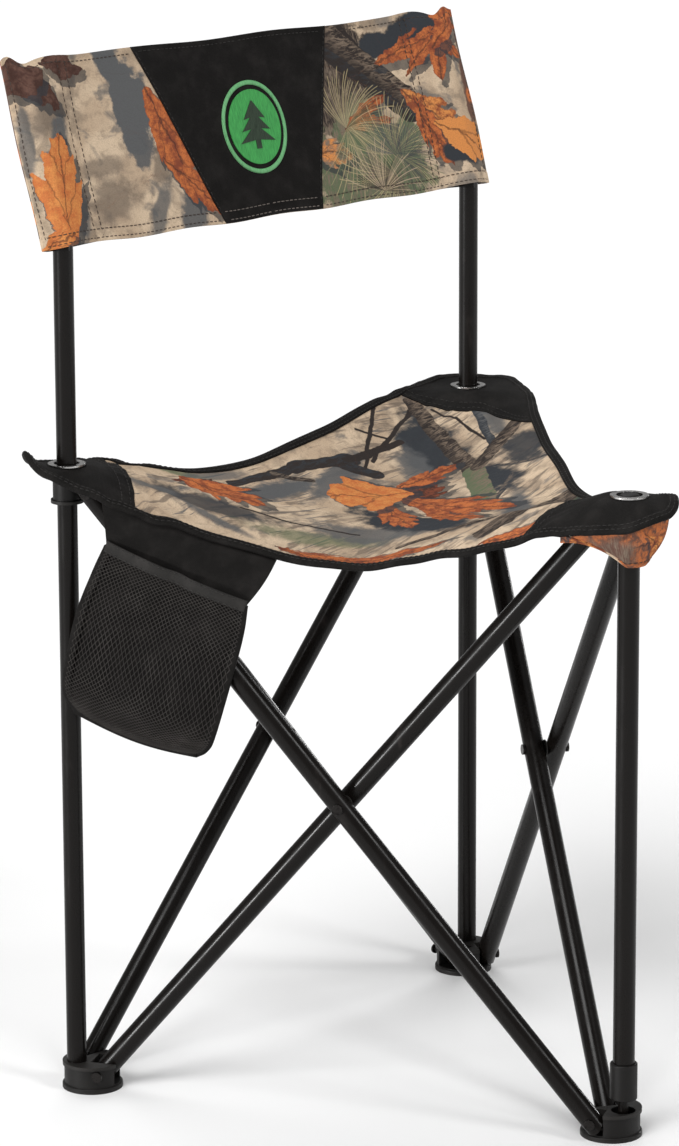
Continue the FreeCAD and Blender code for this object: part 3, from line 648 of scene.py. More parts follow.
BACK_LAYERS = [
    # left half, from the outer edge inwards
    (blotch, -118, 92, 88, 74, 42, STONE, 0.12, 1.0),
    (blotch, -130, 123, -60, 46, 24, STONE, 0.15, 1.0),
    (blotch, -118, 66, 90, 44, 26, STONE, 0.15, 0.95),
    (blotch, -201, 92, 20, 50, 26, SHADE, 0.4, 0.8),
    (blotch, -200, 74, 60, 36, 18, STONE, 0.25, 0.95),
    (blotch, -228, 74, 85, 60, 10, STONE, 0.3, 0.8),
    (blotch, -192, 16, 80, 44, 18, STONE, 0.35, 0.8),
    (blotch, -156, 24, 20, 50, 34, SHADE, 0.35, 0.75),
    (blotch, -160, 50, 0, 46, 14, SHADE, 0.4, 0.7),
    (blotch, -101, 44, 70, 30, 18, SHADE, 0.35, 0.8),
    (blotch, -112, 10, 60, 50, 16, STONE, 0.3, 0.85),
    (blotch, -77, 8, 65, 40, 26, STONE, 0.25, 0.95),
    (leaf, -180, 127, -10, 44, 20, 1.5, 0.3, BROWN, MAROON),
    (leaf, -211, 112, -36, 52, 24, 1.5, 0.3, BROWN, MAROON),
    (leaf, -223, 121, 10, 44, 34, 2, 0.3, BROWN, MAROON),
    (leaf, -207, 34, 82, 92, 50, 3, 0.38, AMBER, ORANGE),
    (leaf, -222, -2, 20, 34, 18, 2, 0.4, AMBER, ORANGE),
    (leaf, -88, 66, -70, 84, 40, 2.5, 0.35),
    (leaf, -72, 27, -42, 70, 28, 2.5, 0.4),
    # middle, seen on the rear side only
    (branch, (-46, 10), (44, 112), 12, 7.0),
    (blotch, 10, 60, 40, 80, 40, STONE, 0.3, 0.8),
    (leaf, 22, 84, -28, 70, 40, 3, 0.5),
    (leaf, -18, 30, 36, 60, 30, 3, 0.5, RUST, MAROON),
    # right half, from the plain panel outwards
    (bark, 100, 86, 90, 130, 74, BARK, BARK_DARK),
    (bark, 112, 20, 10, 130, 84, BARK, GREEN),
    (blotch, 152, 116, 10, 70, 20, SLATE, 0.18, 1.0),
    (blotch, 192, 124, 14, 74, 26, SLATE, 0.18, 1.0),
    (twig, (110, 132), (132, 106), 5, 6.0),
    (branch, (88, 120), (166, 60), 20, 8.0, SLATE),
    (branch, (90, 132), (122, 106), 20, 8.0),
    (branch, (122, 106), (166, 70), 18, 8.0),
    (needles, 94, 53, 80, 52, 60, 110, STRAW, SHADE),
    (needles, 94, 53, 20, 44, 60, 110, STRAW, GREEN),
    (leaf, 118, 65, 24, 56, 13, 2, 0.25),
    (leaf, 119, 54, 4, 54, 11, 2, 0.25),
    (blotch, 122, 38, 0, 44, 30, GREEN, 0.4, 0.8),
    (leaf, 74, 36, -10, 44, 26, 3, 0.4, AMBER, BARK),
    (needles, 94, 53, -45, 64, 90, 120, STRAW, GREEN),
    (needles, 139, 28, 60, 52, 120, 130, STRAW, STONE),
    (needles, 146, 22, 30, 46, 120, 120, GREEN, SLATE),
    (needles, 132, 14, -140, 60, 90, 120, STRAW, SHADE),
    (needles, 120, 0, 80, 46, 90, 100, BEIGE, BARK_DARK),
    (leaf, 178, 110, 14, 86, 22, 3, 0.5),
    (leaf, 187, 103, 40, 46, 14, 2, 0.4),
    (leaf, 202, 101, 84, 44, 20, 2, 0.4),
    (leaf, 213, 107, -35, 40, 14, 2, 0.4),
    (leaf, 218, 125, 44, 56, 32, 2, 0.45),
    (leaf, 184, 57, -38, 66, 30, 3, 0.4, AMBER, RUST),
    (leaf, 182, 42, -66, 66, 26, 3, 0.45),
    (blotch, 232, 78, 86, 84, 14, BROWN, 0.2, 0.95),
    (blotch, 232, 66, 0, 10, 12, ORANGE, 0.3, 0.9),
    (blotch, 204, 21, -18, 34, 18, SLATE, 0.15, 1.0),
    (leaf, 214, 32, -30, 62, 38, 2, 0.3, AMBER, AMBER),
]

SEAT_LAYERS = [
    (blotch, -134, 53, -43, 92, 30, SLATE, 0.3, 0.9),
    (blotch, -57, 74, 2, 110, 22, STONE, 0.35, 1.0),
    (blotch, -104, 116, -27, 46, 10, GREEN, 0.4, 0.8),
    (blotch, -76, 108, -10, 60, 12, STONE, 0.4, 0.8),
    (blotch, -144, 33, -62, 56, 7, STONE, 0.4, 0.9),
    (blotch, -170, 82, -30, 50, 12, STONE, 0.4, 0.8),
    (blotch, -79, -15, -42, 110, 20, GREEN, 0.4, 0.7),
    (blotch, -34, -40, -50, 130, 40, STONE, 0.3, 0.9),
    (blotch, 16, 70, 20, 100, 22, STONE, 0.35, 0.95),
    (blotch, 116, 70, 62, 98, 50, SLATE, 0.3, 1.0),
    (blotch, 86, 58, 60, 60, 24, STONE, 0.35, 0.9),
    (blotch, 148, 0, 60, 70, 34, SLATE, 0.3, 0.95),
    (blotch, 96, -20, 60, 80, 34, SLATE, 0.3, 1.0),
    (blotch, 40, -96, 50, 90, 24, STONE, 0.35, 0.95),
    (blotch, 176, 60, 60, 50, 20, STONE, 0.35, 0.9),
    (blotch, -12, -42, -93, 136, 34, SLATE, 0.25, 1.0),
    (twig, (-109, 46), (-86, 22), 2.6, 5.0),
    (twig, (-86, 22), (-50, -20), 2.6, 6.0),
    (branch, (-72, 95), (-8, 93), 9, 8.0, SLATE),
    (branch, (-8, 93), (44, 86), 13, 8.0, SLATE),
    (twig, (40, 86), (104, 90), 6.5, 7.0),
    (branch, (34, 82), (52, 64), 12, 7.0, SLATE),
    (branch, (-30, 94), (-6, 76), 5, 6.0, SHADE),
    (twig, (112, 128), (50, 76), 3.2, 6.0),
    (twig, (142, 118), (62, 80), 4.0, 6.0),
    (twig, (76, 112), (98, 96), 2.6, 4.0),
    (branch, (184, 88), (142, 26), 7.0, 5.0, STONE, SLATE),
    (twig, (158, 110), (164, 90), 2.6, 4.0),
    (twig, (165, 90), (148, 42), 2.6, 4.0),
    (branch, (118, 0), (132, -44), 5.0, 5.0, SHADE, SLATE),
    (branch, (56, -58), (104, -32), 5.0, 5.0, SHADE, SLATE),
    (branch, (152, 126), (136, 80), 15, 8.0),
    (branch, (136, 80), (106, 12), 16, 8.0),
    (branch, (106, 12), (54, -50), 17, 8.0, BARK, GREEN),
    (branch, (182, 40), (112, 14), 12, 7.0),
    (branch, (-56, -70), (12, -124), 7, 8.0),
    (leaf, -104, 104, 176, 40, 12, 1.5, 0.3, RUST, MAROON),
    (leaf, -95, 80, -68, 72, 62, 3, 0.45),
    (leaf, 52, 18, 30, 62, 44, 3, 0.4, RUST, MAROON),
    (leaf, 78, 38, -4, 64, 22, 2, 0.45),
    (leaf, 0, -8, -118, 96, 30, 3, 0.45),
    (leaf, 16, -50, -109, 110, 32, 3, 0.45),
    (leaf, 40, -28, -85, 124, 44, 3, 0.45),
    (leaf, 20, 40, 160, 70, 64, 2, 0.35, AMBER, ORANGE),
    (branch, (-32, -138), (82, -124), 26, 9.0),
    (branch, (30, -142), (84, -136), 6, 8.0, GREEN, SLATE),
    (leaf, -84, -58, -56, 130, 17, 4, 0.3),
    (leaf, -44, -180, -70, 68, 18, 3, 0.3),
]

FLAP_LAYERS = [
    (leaf, 4, -2, 6, 150, 90, 3, 0.25, ORANGE, BROWN),
    (bark, -34, -14, 10, 60, 34, BARK, BROWN, 0.4),
    (leaf, 26, -8, -30, 60, 20, 3, 0.4, AMBER, RUST),
    (blotch, 44, 4, 80, 30, 12, PALE, 0.3, 0.9),
]


def woven_black(name, pitch, strength, tone, worn):
    """Black pack cloth or tape, with lint and wear."""
    material, g = new_material(name)
    where = pattern_mm(g)
    dust = g.noise(where, 0.05, 5.0, 0.6)
    speck = g.noise(where, 1.1, 2.0, 0.7)
    colour = g.mix(g.ramp(dust, 0.4, 0.75, 0.0, 0.6), tone, worn)
    colour = g.mix(g.ramp(speck, 0.58, 0.75, 0.0, 0.6), colour, worn)
    crease = g.noise(g.stretch(where, (1.0, 0.4, 1.0), -0.6), 0.07)
    normal = weave(g, where, pitch, strength, 0.0002, g.bump(crease, 0.3, 0.001))
    return finished(material, g, colour, g.ramp(speck, 0.3, 0.7, 0.68, 0.88), normal, 0.10)


def lining_material():
    """Coated underside of the seat cloth."""
    material, g = new_material("seat_lining")
    where = pattern_mm(g)
    cloud = g.noise(where, 0.04, 4.0)
    colour = g.mix(g.ramp(cloud, 0.35, 0.7), (0.045, 0.042, 0.038), (0.085, 0.078, 0.070))
    rough = g.ramp(cloud, 0.3, 0.7, 0.55, 0.72)
    return finished(material, g, colour, rough, weave(g, where, 0.7, 0.4, 0.00015))


def thread_material(name, light, dark):
    """Twisted sewing thread."""
    material, g = new_material(name)
    twist = g.noise(object_place(g), 900.0, 2.0)
    colour = g.mix(g.ramp(twist, 0.35, 0.65), dark, light)
    rough = g.ramp(twist, 0.3, 0.7, 0.5, 0.75)
    return finished(material, g, colour, rough, g.bump(twist, 0.5, 0.0001), 0.20)


def embroidery_material(name, light, dark, slant):
    """Satin stitch, in slanted rows."""
    material, g = new_material(name)
    strand = g.noise(g.stretch(pattern_mm(g), (2.6, 0.12, 1.0), slant), 1.0, 2.0, 0.5)
    colour = g.mix(g.ramp(strand, 0.35, 0.65), dark, light)
    rough = g.ramp(strand, 0.3, 0.7, 0.38, 0.6)
    return finished(material, g, colour, rough, g.bump(strand, 0.6, 0.0002), 0.20)


def painted_tube():
    """Satin black powder coat with orange peel and rubbed spots."""
    material, g = new_material("black_tube_paint")
    where = object_place(g)
    peel = g.noise(where, 420.0, 2.0)
    scuff = g.noise(g.stretch(where, (1.0, 1.0, 0.25)), 60.0, 6.0, 0.7)
    colour = g.mix(g.ramp(scuff, 0.60, 0.74), (0.0044, 0.0035, 0.0030), (0.015, 0.012, 0.011))
    rough = g.ramp(scuff, 0.35, 0.75, 0.22, 0.36)
    return finished(material, g, colour, rough, g.bump(peel, 0.06, 0.0003), 0.16)


def moulded_plastic():
    """Black nylon with a fine spark-eroded grain, dust, and lighter convex edges."""
    material, g = new_material("black_moulded_plastic")
    where = object_place(g)
    grain = g.noise(where, 1600.0, 2.0)
    dust = g.noise(where, 45.0, 5.0, 0.65)
    edge = g.add("NewGeometry").outputs["Pointiness"]
    dusty = g.ramp(dust, 0.45, 0.75, 0.0, 0.7)
    colour = g.mix(dusty, (0.0052, 0.0046, 0.0042), (0.016, 0.0145, 0.0135))
    # Convex edges, found by pointiness, are made lighter.
    colour = g.mix(g.ramp(edge, 0.52, 0.60, 0.0, 0.5), colour, (0.026, 0.024, 0.022))
    round_edge = g.add("Bevel", {"Radius": 0.0006}, samples=4).outputs[0]
    rough = g.ramp(dust, 0.3, 0.7, 0.42, 0.62)
    return finished(material, g, colour, rough, g.bump(grain, 0.2, 0.0002, round_edge), 0.2)


def steel(name, light, dark, rough_low, rough_high):
    """Plated steel, with fine scratches and spots."""
    material, g = new_material(name)
    where = object_place(g)
    scratch = g.noise(g.stretch(where, (1.0, 1.0, 8.0)), 260.0, 4.0, 0.7)
    colour = g.mix(g.ramp(g.noise(where, 120.0, 5.0, 0.7), 0.50, 0.72), light, dark)
    rough = g.ramp(scratch, 0.3, 0.7, rough_low, rough_high)
    round_edge = g.add("Bevel", {"Radius": 0.0003}, samples=4).outputs[0]
    return finished(material, g, colour, rough, g.bump(scratch, 0.08, 0.0002, round_edge), metallic=1.0)


CAMO_SEAT = camo_material("camo_seat_print", SEAT_LAYERS, streaks=True)
CAMO_BACK = camo_material("camo_back_print", BACK_LAYERS)
CAMO_FLAP = camo_material("camo_flap_print", FLAP_LAYERS)
BLACK_CLOTH = woven_black("black_pack_cloth", 0.7, 0.5, (0.0060, 0.0054, 0.0050), (0.019, 0.017, 0.016))
BLACK_TAPE = woven_black("black_edge_tape", 1.1, 0.6, (0.0060, 0.0054, 0.0050), (0.020, 0.018, 0.017))
NET_CORD = woven_black("pocket_net_cord", 0.5, 0.3, (0.034, 0.031, 0.029), (0.070, 0.064, 0.059))
HEM_CLOTH = woven_black("pocket_hem_cloth", 0.6, 0.4, (0.020, 0.019, 0.018), (0.042, 0.039, 0.037))
LINING = lining_material()
DARK_THREAD = thread_material("dark_thread", (0.070, 0.050, 0.040), (0.030, 0.022, 0.019))
BLACK_THREAD = thread_material("black_thread", (0.030, 0.028, 0.026), (0.010, 0.009, 0.009))
PALE_THREAD = thread_material("pale_thread", (0.20, 0.17, 0.15), (0.10, 0.09, 0.08))
BADGE_FIELD = embroidery_material("badge_green_thread", (0.055, 0.34, 0.080), (0.030, 0.20, 0.048), 0.3)
BADGE_BORDER = embroidery_material("badge_pale_green_thread", (0.16, 0.42, 0.19), (0.09, 0.28, 0.11), 1.2)
BADGE_MARK = embroidery_material("badge_dark_thread", (0.030, 0.050, 0.030), (0.012, 0.022, 0.013), -0.5)
TUBE_PAINT = painted_tube()
PLASTIC = moulded_plastic()
PIN_STEEL = steel("black_pin_steel", (0.026, 0.024, 0.023), (0.011, 0.010, 0.010), 0.22, 0.38)
GROMMET_STEEL = steel("grommet_plate", (0.46, 0.45, 0.44), (0.20, 0.19, 0.18), 0.16, 0.34)

# ---- seat ---------------------------------------------------------------------------


def seat_wrinkles(x, y):
    """Height of tension folds that fan out from the corners, and of broad waves."""
    height = np.zeros_like(x)
    for leg, size in (("rear_left", 1.9), ("rear_right", 1.0), ("front", 1.2)):
        dx, dy = x - LEG[leg][0], y - LEG[leg][1]
        reach = np.hypot(dx, dy) / MM
        inward = unit(CENTRE - LEG[leg])
        turn = np.arctan2(inward[0] * dy - inward[1] * dx, inward[0] * dx + inward[1] * dy)
        near = np.exp(-((reach - 85) / 46) ** 2) * smooth((reach - 22) / 30)
        folds = np.sin(17 * turn + 1.4 * np.sin(3 * turn + size)) + 0.5 * np.sin(37 * turn + 2)
        height += size * 0.7 * near * folds
    xm, ym = (x - CENTRE[0]) / MM, (y - CENTRE[1]) / MM
    height += 0.8 * np.sin(xm / 21 + 1.5 * np.sin(ym / 33)) * np.sin(ym / 27 + 0.7)
    height += 0.5 * np.sin((xm - 1.4 * ym) / 13 + 2.2 * np.sin(ym / 41))
    return height * MM


class Sector:
    """Sixth of the seat, between a corner, the seat's centre and the middle of an edge."""

    def __init__(self, leg, pair):
        first, second = PAIRS[pair]
        self.leg = leg
        self.pair = pair
        self.other = second if leg == first else first
        self.starts = leg == first
        self.along = unit(LEG[self.other] - LEG[leg])
        self.out = unit((LEG[first] + LEG[second]) / 2 - CENTRE)
        self.nose = unit(LEG[leg] - CENTRE)
        self.side = unit(self.out - self.nose * (self.out @ self.nose))
        where, outwards, heights = np.array(EDGE[pair], float).T * MM
        self.outwards = hermite(where, outwards)
        self.heights = hermite(where, heights)
        self.body = "seat_" + pair + "_edge_" + leg + "_gore"

    def rim(self, run):
        """Point of the rim, by its distance round from the nose's tip."""
        run = np.asarray(run, float)
        arc = NOSE_RADIUS * NOSE_ARC
        u = np.clip(run - arc, 0, None)
        at = u if self.starts else SPACING - u
        corner = 0.0 if self.starts else SPACING
        turn = np.clip(run / arc, 0, 1)
        reach = NOSE_REACH[self.leg]
        radius = reach + (self.outwards(corner) - reach) * smooth(turn)
        way = (self.nose * np.cos(turn * NOSE_ARC)[..., None]
               + self.side * np.sin(turn * NOSE_ARC)[..., None])
        nose = LEG[self.leg] + way * radius[..., None]
        tip = SEAT_Z + NOSE_LIFT[self.leg]
        nose[..., 2] = tip + (self.heights(corner) - tip) * smooth(turn)
        edge = LEG[self.leg] + self.along * u[..., None] + self.out * self.outwards(at)[..., None]
        edge[..., 2] = self.heights(at)
        return np.where((run > arc)[..., None], edge, nose)

    def inner(self, a):
        """Point of the inner border: round the hole, then along to the seat's centre."""
        a = np.asarray(a, float)
        turn = math.pi * np.clip(a / HOLE_SHARE, 0, 1)
        way = self.nose * np.cos(turn)[..., None] + self.side * np.sin(turn)[..., None]
        ring = LEG[self.leg] + way * HOLE_RADIUS
        share = np.clip((a - HOLE_SHARE) / (1 - HOLE_SHARE), 0, 1)
        whole = np.linalg.norm(LEG[self.leg] - CENTRE)
        reach = HOLE_RADIUS + (whole - HOLE_RADIUS) * share
        line = LEG[self.leg] - self.nose * reach[..., None]
        slope = np.clip((reach - FLAT_AROUND_POST) / (whole - FLAT_AROUND_POST), 0, 1)
        eased = np.sqrt(slope ** 2 + CORNER_ROUND ** 2) - CORNER_ROUND
        eased = eased / (math.hypot(1, CORNER_ROUND) - CORNER_ROUND)
        points = np.where((a > HOLE_SHARE)[..., None], line, ring)
        points[..., 2] = SEAT_Z - SEAT_CENTRE_DROP * (1 - (1 - eased) ** 1.6)
        return points

    def point(self, a, b):
        """Point of the seat's upper face; a sweeps from the nose, b runs outwards."""
        a, b = np.broadcast_arrays(np.asarray(a, float), np.asarray(b, float))
        whole = NOSE_RADIUS * NOSE_ARC + SPACING / 2
        first = RIM_AT_HOLE_END * a / HOLE_SHARE
        then = RIM_AT_HOLE_END + (whole - RIM_AT_HOLE_END) * (a - HOLE_SHARE) / (1 - HOLE_SHARE)
        rim = self.rim(np.where(a < HOLE_SHARE, first, then))
        inner = self.inner(a)
        points = inner + (rim - inner) * b[..., None]
        points[..., 2] = inner[..., 2] + (rim[..., 2] - inner[..., 2]) * b ** PUFF
        apart = points[..., :2] - LEG[self.leg][:2]
        calm = smooth(np.hypot(apart[..., 0], apart[..., 1]) / WRINKLES_FROM)
        points[..., 2] += seat_wrinkles(points[..., 0], points[..., 1]) * calm
        return points

    def patch_end(self, b):
        """Sweep value where the black corner ends."""
        whole = np.linalg.norm(LEG[self.leg] - CENTRE)
        inward = (PATCH_INWARD[self.leg] - HOLE_RADIUS) / (whole - HOLE_RADIUS)
        rim = NOSE_RADIUS * NOSE_ARC + SPACING / 2 - RIM_AT_HOLE_END
        along = (PATCH_ALONG[self.leg, self.pair] + NOSE_RADIUS * NOSE_ARC - RIM_AT_HOLE_END) / rim
        return HOLE_SHARE + (1 - HOLE_SHARE) * (inward + (along - inward) * b ** 2.4)

    def inset(self, a, distance):
        """Value of b at a distance in from the rim."""
        width = np.linalg.norm(self.point(a, 1.0) - self.point(a, 0.0), axis=-1)
        return 1 - distance / width


def lifted(grid, amount, flip):
    """Grid moved along its normals."""
    return grid + grid_normals(grid) * (amount * flip)


def upward(grid):
    """Sign that turns a grid's normals upwards."""
    return 1.0 if np.mean(grid_normals(grid)[..., 2]) > 0 else -1.0


def plan_uv(grid):
    return grid[..., :2] - CENTRE[:2]


def grid_area(grid):
    """Area of a grid of points, as it was cut."""
    one = np.cross(grid[1:, :-1] - grid[:-1, :-1], grid[:-1, 1:] - grid[:-1, :-1])
    two = np.cross(grid[1:, 1:] - grid[:-1, 1:], grid[1:, 1:] - grid[1:, :-1])
    return float((np.linalg.norm(one, axis=2).sum() + np.linalg.norm(two, axis=2).sum()) / 2)


def flat_size(grid, sector):
    """Extent of a grid, across and along its edge of the seat."""
    points = grid.reshape(-1, 3)
    return tuple(float(np.ptp(points @ way)) for way in (sector.out, sector.along))


TAPE_PROFILE = [(-6.5, 0.15), (-6.3, 1.1), (-5.6, 1.45), (-3.0, 1.6), (0.2, 1.4), (1.3, 0.6),
                (1.6, -0.6), (1.1, -1.8), (0.0, -2.5), (-3.0, -2.7), (-7.0, -2.5), (-7.8, -2.0),
                (-7.6, -1.6), (0.2, -1.6), (0.6, -0.4), (0.2, 0.2), (-6.0, 0.2)]


def seat_piece(sector):
    """The camouflage cloth, black corner, edge tape and stitching of one seat sector."""
    tag = "seat_" + sector.pair + "_" + sector.leg
    start = LEG[sector.leg] - sector.nose * 20 * MM + UP * SEAT_Z
    end = LEG[sector.leg] - sector.nose * 62 * MM + UP * SEAT_Z

    b = np.linspace(0, 1, 44)[None, :]
    share = np.linspace(0, 1, 72)[:, None]
    first = sector.patch_end(b) - 0.035
    cloth = sector.point(first + (1 - first) * share, b)
    low = lifted(cloth, -CAMO_THICKNESS, upward(cloth))
    camo = shell(tag + "_camo", cloth, low, plan_uv(cloth), [CAMO_SEAT, LINING])

    share = np.linspace(0, 1, 56)[:, None]
    b = np.linspace(0, 1, 36)[None, :]
    corner = sector.point(sector.patch_end(b) * share, b)
    flip = upward(corner)
    top = lifted(corner, PATCH_TOP, flip)
    low = lifted(corner, PATCH_LOW, flip)
    patch = shell(tag + "_black_corner", top, low, plan_uv(corner), [BLACK_CLOTH])

    a = np.concatenate([np.linspace(0, HOLE_SHARE, 26)[:-1], np.linspace(HOLE_SHARE, 1, 70)])
    rim = sector.point(a, 1.0)
    inside = sector.point(a, sector.inset(a, 8 * MM))
    outs = all_unit(rim - inside)
    ups = all_unit(np.cross(outs, np.gradient(rim, axis=0)))
    ups *= np.sign(ups[:, 2:3])
    tape = sweep(tag + "_edge_tape", rim, outs, ups, TAPE_PROFILE, BLACK_TAPE)

    rows = []
    for distance in (1.8 * MM, 5.0 * MM):
        rows.append((rim - outs * distance + ups * 1.55 * MM, ups))
    b = np.linspace(0.02, 0.93, 50)
    for back in (0.012, 0.036):
        line = sector.point(sector.patch_end(b) - back, b)
        near = sector.point(sector.patch_end(b) - back - 0.01, b)
        up = all_unit(np.cross(np.gradient(line, axis=0), near - line))
        up *= np.sign(up[:, 2:3])
        rows.append((line + up * (PATCH_TOP + 0.05 * MM), up))
    sewing = stitches(tag + "_stitching", rows, BLACK_THREAD)

    for piece, finish in ((camo, "camo_fabric"), (patch, "black_fabric"),
                          (tape, "black_fabric"), (sewing, "black_fabric")):
        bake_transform(piece)
    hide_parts(sector.body)
    flat_size(cloth, sector)
    grid_area(cloth)
    flat_size(corner, sector)
    grid_area(corner)
    return patch


corner_patches = {}
for pair_name, pair_legs in PAIRS.items():
    for leg_name in pair_legs:
        corner_patches.setdefault(leg_name, []).append(seat_piece(Sector(leg_name, pair_name)))
for leg_name, patches in corner_patches.items():
    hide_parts(leg_name + "_corner")

# ---- front corner flap --------------------------------------------------------------

POUCH_LEFT_RUN = 84 * MM       # how far the pouch reaches round the rim on each side
POUCH_RIGHT_RUN = 40 * MM
POUCH_LOW_RADIUS = 12.2 * MM   # close round the tube
POUCH_LOW_Z = 437 * MM
POUCH_THICKNESS = 1.1 * MM
HEM_PROFILE = [(-4.5, 0.1), (-4.0, 0.8), (0.0, 0.8), (0.8, 0.2),
               (0.8, -1.2), (0.0, -1.9), (-4.0, -1.9), (-4.5, -1.3)]


def front_flap():
    """Cloth pouch round the front hub, from the seat's edge down to the tube."""
    left = Sector("front", "left")
    right = Sector("front", "right")
    left_run = np.linspace(POUCH_LEFT_RUN, 0, 44)[:-1]
    right_run = np.linspace(0, POUCH_RIGHT_RUN, 22)
    rim = np.concatenate([left.rim(left_run), right.rim(right_run)])
    share = np.linspace(0, 1, len(rim))
    axis = LEG["front"]
    ray = rim - axis
    ray[:, 2] = 0
    reach = np.linalg.norm(ray, axis=1)
    ray = ray / reach[:, None]
    ends = smooth(share / 0.45) * smooth((1 - share) / 0.2)
    top_reach = reach - 4.5 * MM
    low_reach = top_reach + (POUCH_LOW_RADIUS - top_reach) * ends
    top_z = rim[:, 2] - 2.6 * MM
    low_z = top_z - 3 * MM + (POUCH_LOW_Z - top_z) * ends
    t = np.linspace(0, 1, 26)[:, None]
    bulge = 4.5 * MM * np.sin(math.pi * t) * ends
    ripple = 0.7 * MM * np.sin(share * 34) * np.sin(math.pi * t) * ends
    radius = top_reach + (low_reach - top_reach) * t + bulge + ripple
    height = top_z + (low_z - top_z) * t
    outer = axis + ray[None] * radius[..., None]
    outer[..., 2] = height
    outer = outer.transpose(1, 0, 2)
    normals = grid_normals(outer)
    outward = np.sign(np.mean(np.sum(normals * ray[:, None, :], axis=2)))
    inner = outer - normals * outward * POUCH_THICKNESS
    run = run_along(rim)
    uv = np.stack(np.broadcast_arrays((run - run[-1] * 0.55)[:, None], height.T - 455 * MM), axis=2)
    flap = shell("front_corner_pouch", outer, inner, uv, [CAMO_FLAP, LINING])
    hem = outer[:, -1]
    hem_up = normals[:, -1] * outward
    hem_down = all_unit(hem - outer[:, -2])
    tape = sweep("front_corner_pouch_hem", hem, hem_down, hem_up, HEM_PROFILE, CAMO_FLAP)
    row = outer[:, -4] + hem_up * 0.1 * MM
    sewing = stitches("front_corner_pouch_stitching", [(row, normals[:, -4] * outward)], DARK_THREAD)
    for piece in (flap, tape, sewing):
        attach(piece, "front_slider")
    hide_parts("front_corner_flap")
    grid_area(outer)


front_flap()

# ---- backrest -----------------------------------------------------------------------

POST_X = abs(LEG["rear_left"][0])
BACK_ORIGIN = np.array([0.0, LEG["rear_left"][1], BEND_Z])
BACK_UP = np.array([0.0, math.sin(BACK_LEAN), math.cos(BACK_LEAN)])
BACK_FRONT = np.array([0.0, -math.cos(BACK_LEAN), math.sin(BACK_LEAN)])


def back_point(x, v, n):
    """Point of the backrest: across, up along the lean, and forwards."""
    x, v, n = np.broadcast_arrays(*(np.asarray(k, float) for k in (x, v, n)))
    return (BACK_ORIGIN + x[..., None] * np.array([1.0, 0, 0])
            + v[..., None] * BACK_UP + n[..., None] * BACK_FRONT)


def sleeve_half(x):
    """Half depth of the sewn sleeve round a post, taut between its seam and its edge."""
    t = np.abs(x) - POST_X
    inner_tilt = math.asin(SLEEVE_RADIUS / SLEEVE_SEAM)
    outer_tilt = math.asin(SLEEVE_RADIUS / SLEEVE_EDGE)
    inner_side = (t + SLEEVE_SEAM) * math.tan(inner_tilt)
    outer_side = (SLEEVE_EDGE - t) * math.tan(outer_tilt)
    ring = np.sqrt(np.clip(SLEEVE_RADIUS ** 2 - t ** 2, 0, None))
    inner_touch = -SLEEVE_RADIUS * math.sin(inner_tilt)
    outer_touch = SLEEVE_RADIUS * math.sin(outer_tilt)
    depth = np.where(t < inner_touch, inner_side, np.where(t > outer_touch, outer_side, ring))
    slack = np.sin(math.pi * np.clip((t + SLEEVE_SEAM) / (SLEEVE_SEAM + inner_touch), 0, 1))
    return np.clip(depth, 0, None) + 1.0 * MM * np.clip(slack, 0, 1)


def back_depth(x, v, front):
    """How far forwards the cloth's middle plane is; front is 1 or -1."""
    closing = 1 - smooth((v - SLEEVE_CLOSES) / (7 * MM))
    opening = sleeve_half(x) * closing
    xm, vm = x / MM, v / MM
    inside = smooth((POST_X - SLEEVE_SEAM - np.abs(x)) / (40 * MM))
    belly = -3.5 * MM * np.cos(np.clip(xm / 181, -1, 1) * math.pi / 2) * inside
    belly *= 0.75 + 0.25 * np.cos(vm / 40)
    waves = 0.7 * np.sin(xm / 17 + 1.8 * np.sin(vm / 38)) + 0.5 * np.sin(xm / 41 - vm / 23)
    seam_gap = np.abs(np.abs(xm) - (POST_X - SLEEVE_SEAM) / MM)
    pucker = 0.45 * np.sin(vm / 1.9) * np.exp(-seam_gap / 5)
    pinch = -0.5 * front * np.exp(-(seam_gap / 2.2) ** 2)
    sleeve = smooth((np.abs(x) - POST_X + SLEEVE_SEAM) / (10 * MM))
    flutter = sleeve * 0.9 * np.sin(vm / 19 + 0.4 * xm) * np.clip(np.abs(xm) - 216, 0, 12) / 12
    return front * opening + belly + (waves * (1 - sleeve) + pucker + pinch + flutter) * MM


def outline_wobble(x, v):
    """Small unevenness of the sewn outline, so that it isn't ruled."""
    top = smooth((v - 100 * MM) / (35 * MM))
    low = 1 - smooth((v - BACK_LOW) / (40 * MM))
    xm = x / MM
    ear = 4.0 * np.exp(-((np.abs(xm) - 226) / 6) ** 2) - 2.5 * np.exp(-((np.abs(xm) - 212) / 9) ** 2)
    ear += 1.8 * np.exp(-((np.abs(xm) - 186) / 16) ** 2)
    return (top * (ear + 0.7 * np.sin(xm / 23)) + low * 0.7 * np.sin(xm / 15 + 1)) * MM


def layer(name, x, v, front, lift_low, lift_high, materials):
    """Layer of cloth that follows the backrest at a given height over its middle plane."""
    depth = back_depth(x, v, front)
    v_out = v + outline_wobble(x, v)
    hem = 0.5 * MM * (1 - smooth((v - BACK_LOW - 8 * MM) / (1.5 * MM))) if front > 0 else 0.0
    high = back_point(x, v_out, depth + front * (lift_high + hem))
    low = back_point(x, v_out, depth + front * lift_low)
    return shell(name, high, low, np.stack([x * front, v], axis=2), materials)


def back_row(xs, vs, lift, front=1.0):
    """Stitch row on the backrest."""
    x, v = np.broadcast_arrays(np.asarray(xs, float), np.asarray(vs, float))
    depth = back_depth(x, v, front)
    path = back_point(x, v + outline_wobble(x, v), depth + front * lift)
    return path, np.tile(BACK_FRONT * front, (len(path), 1))


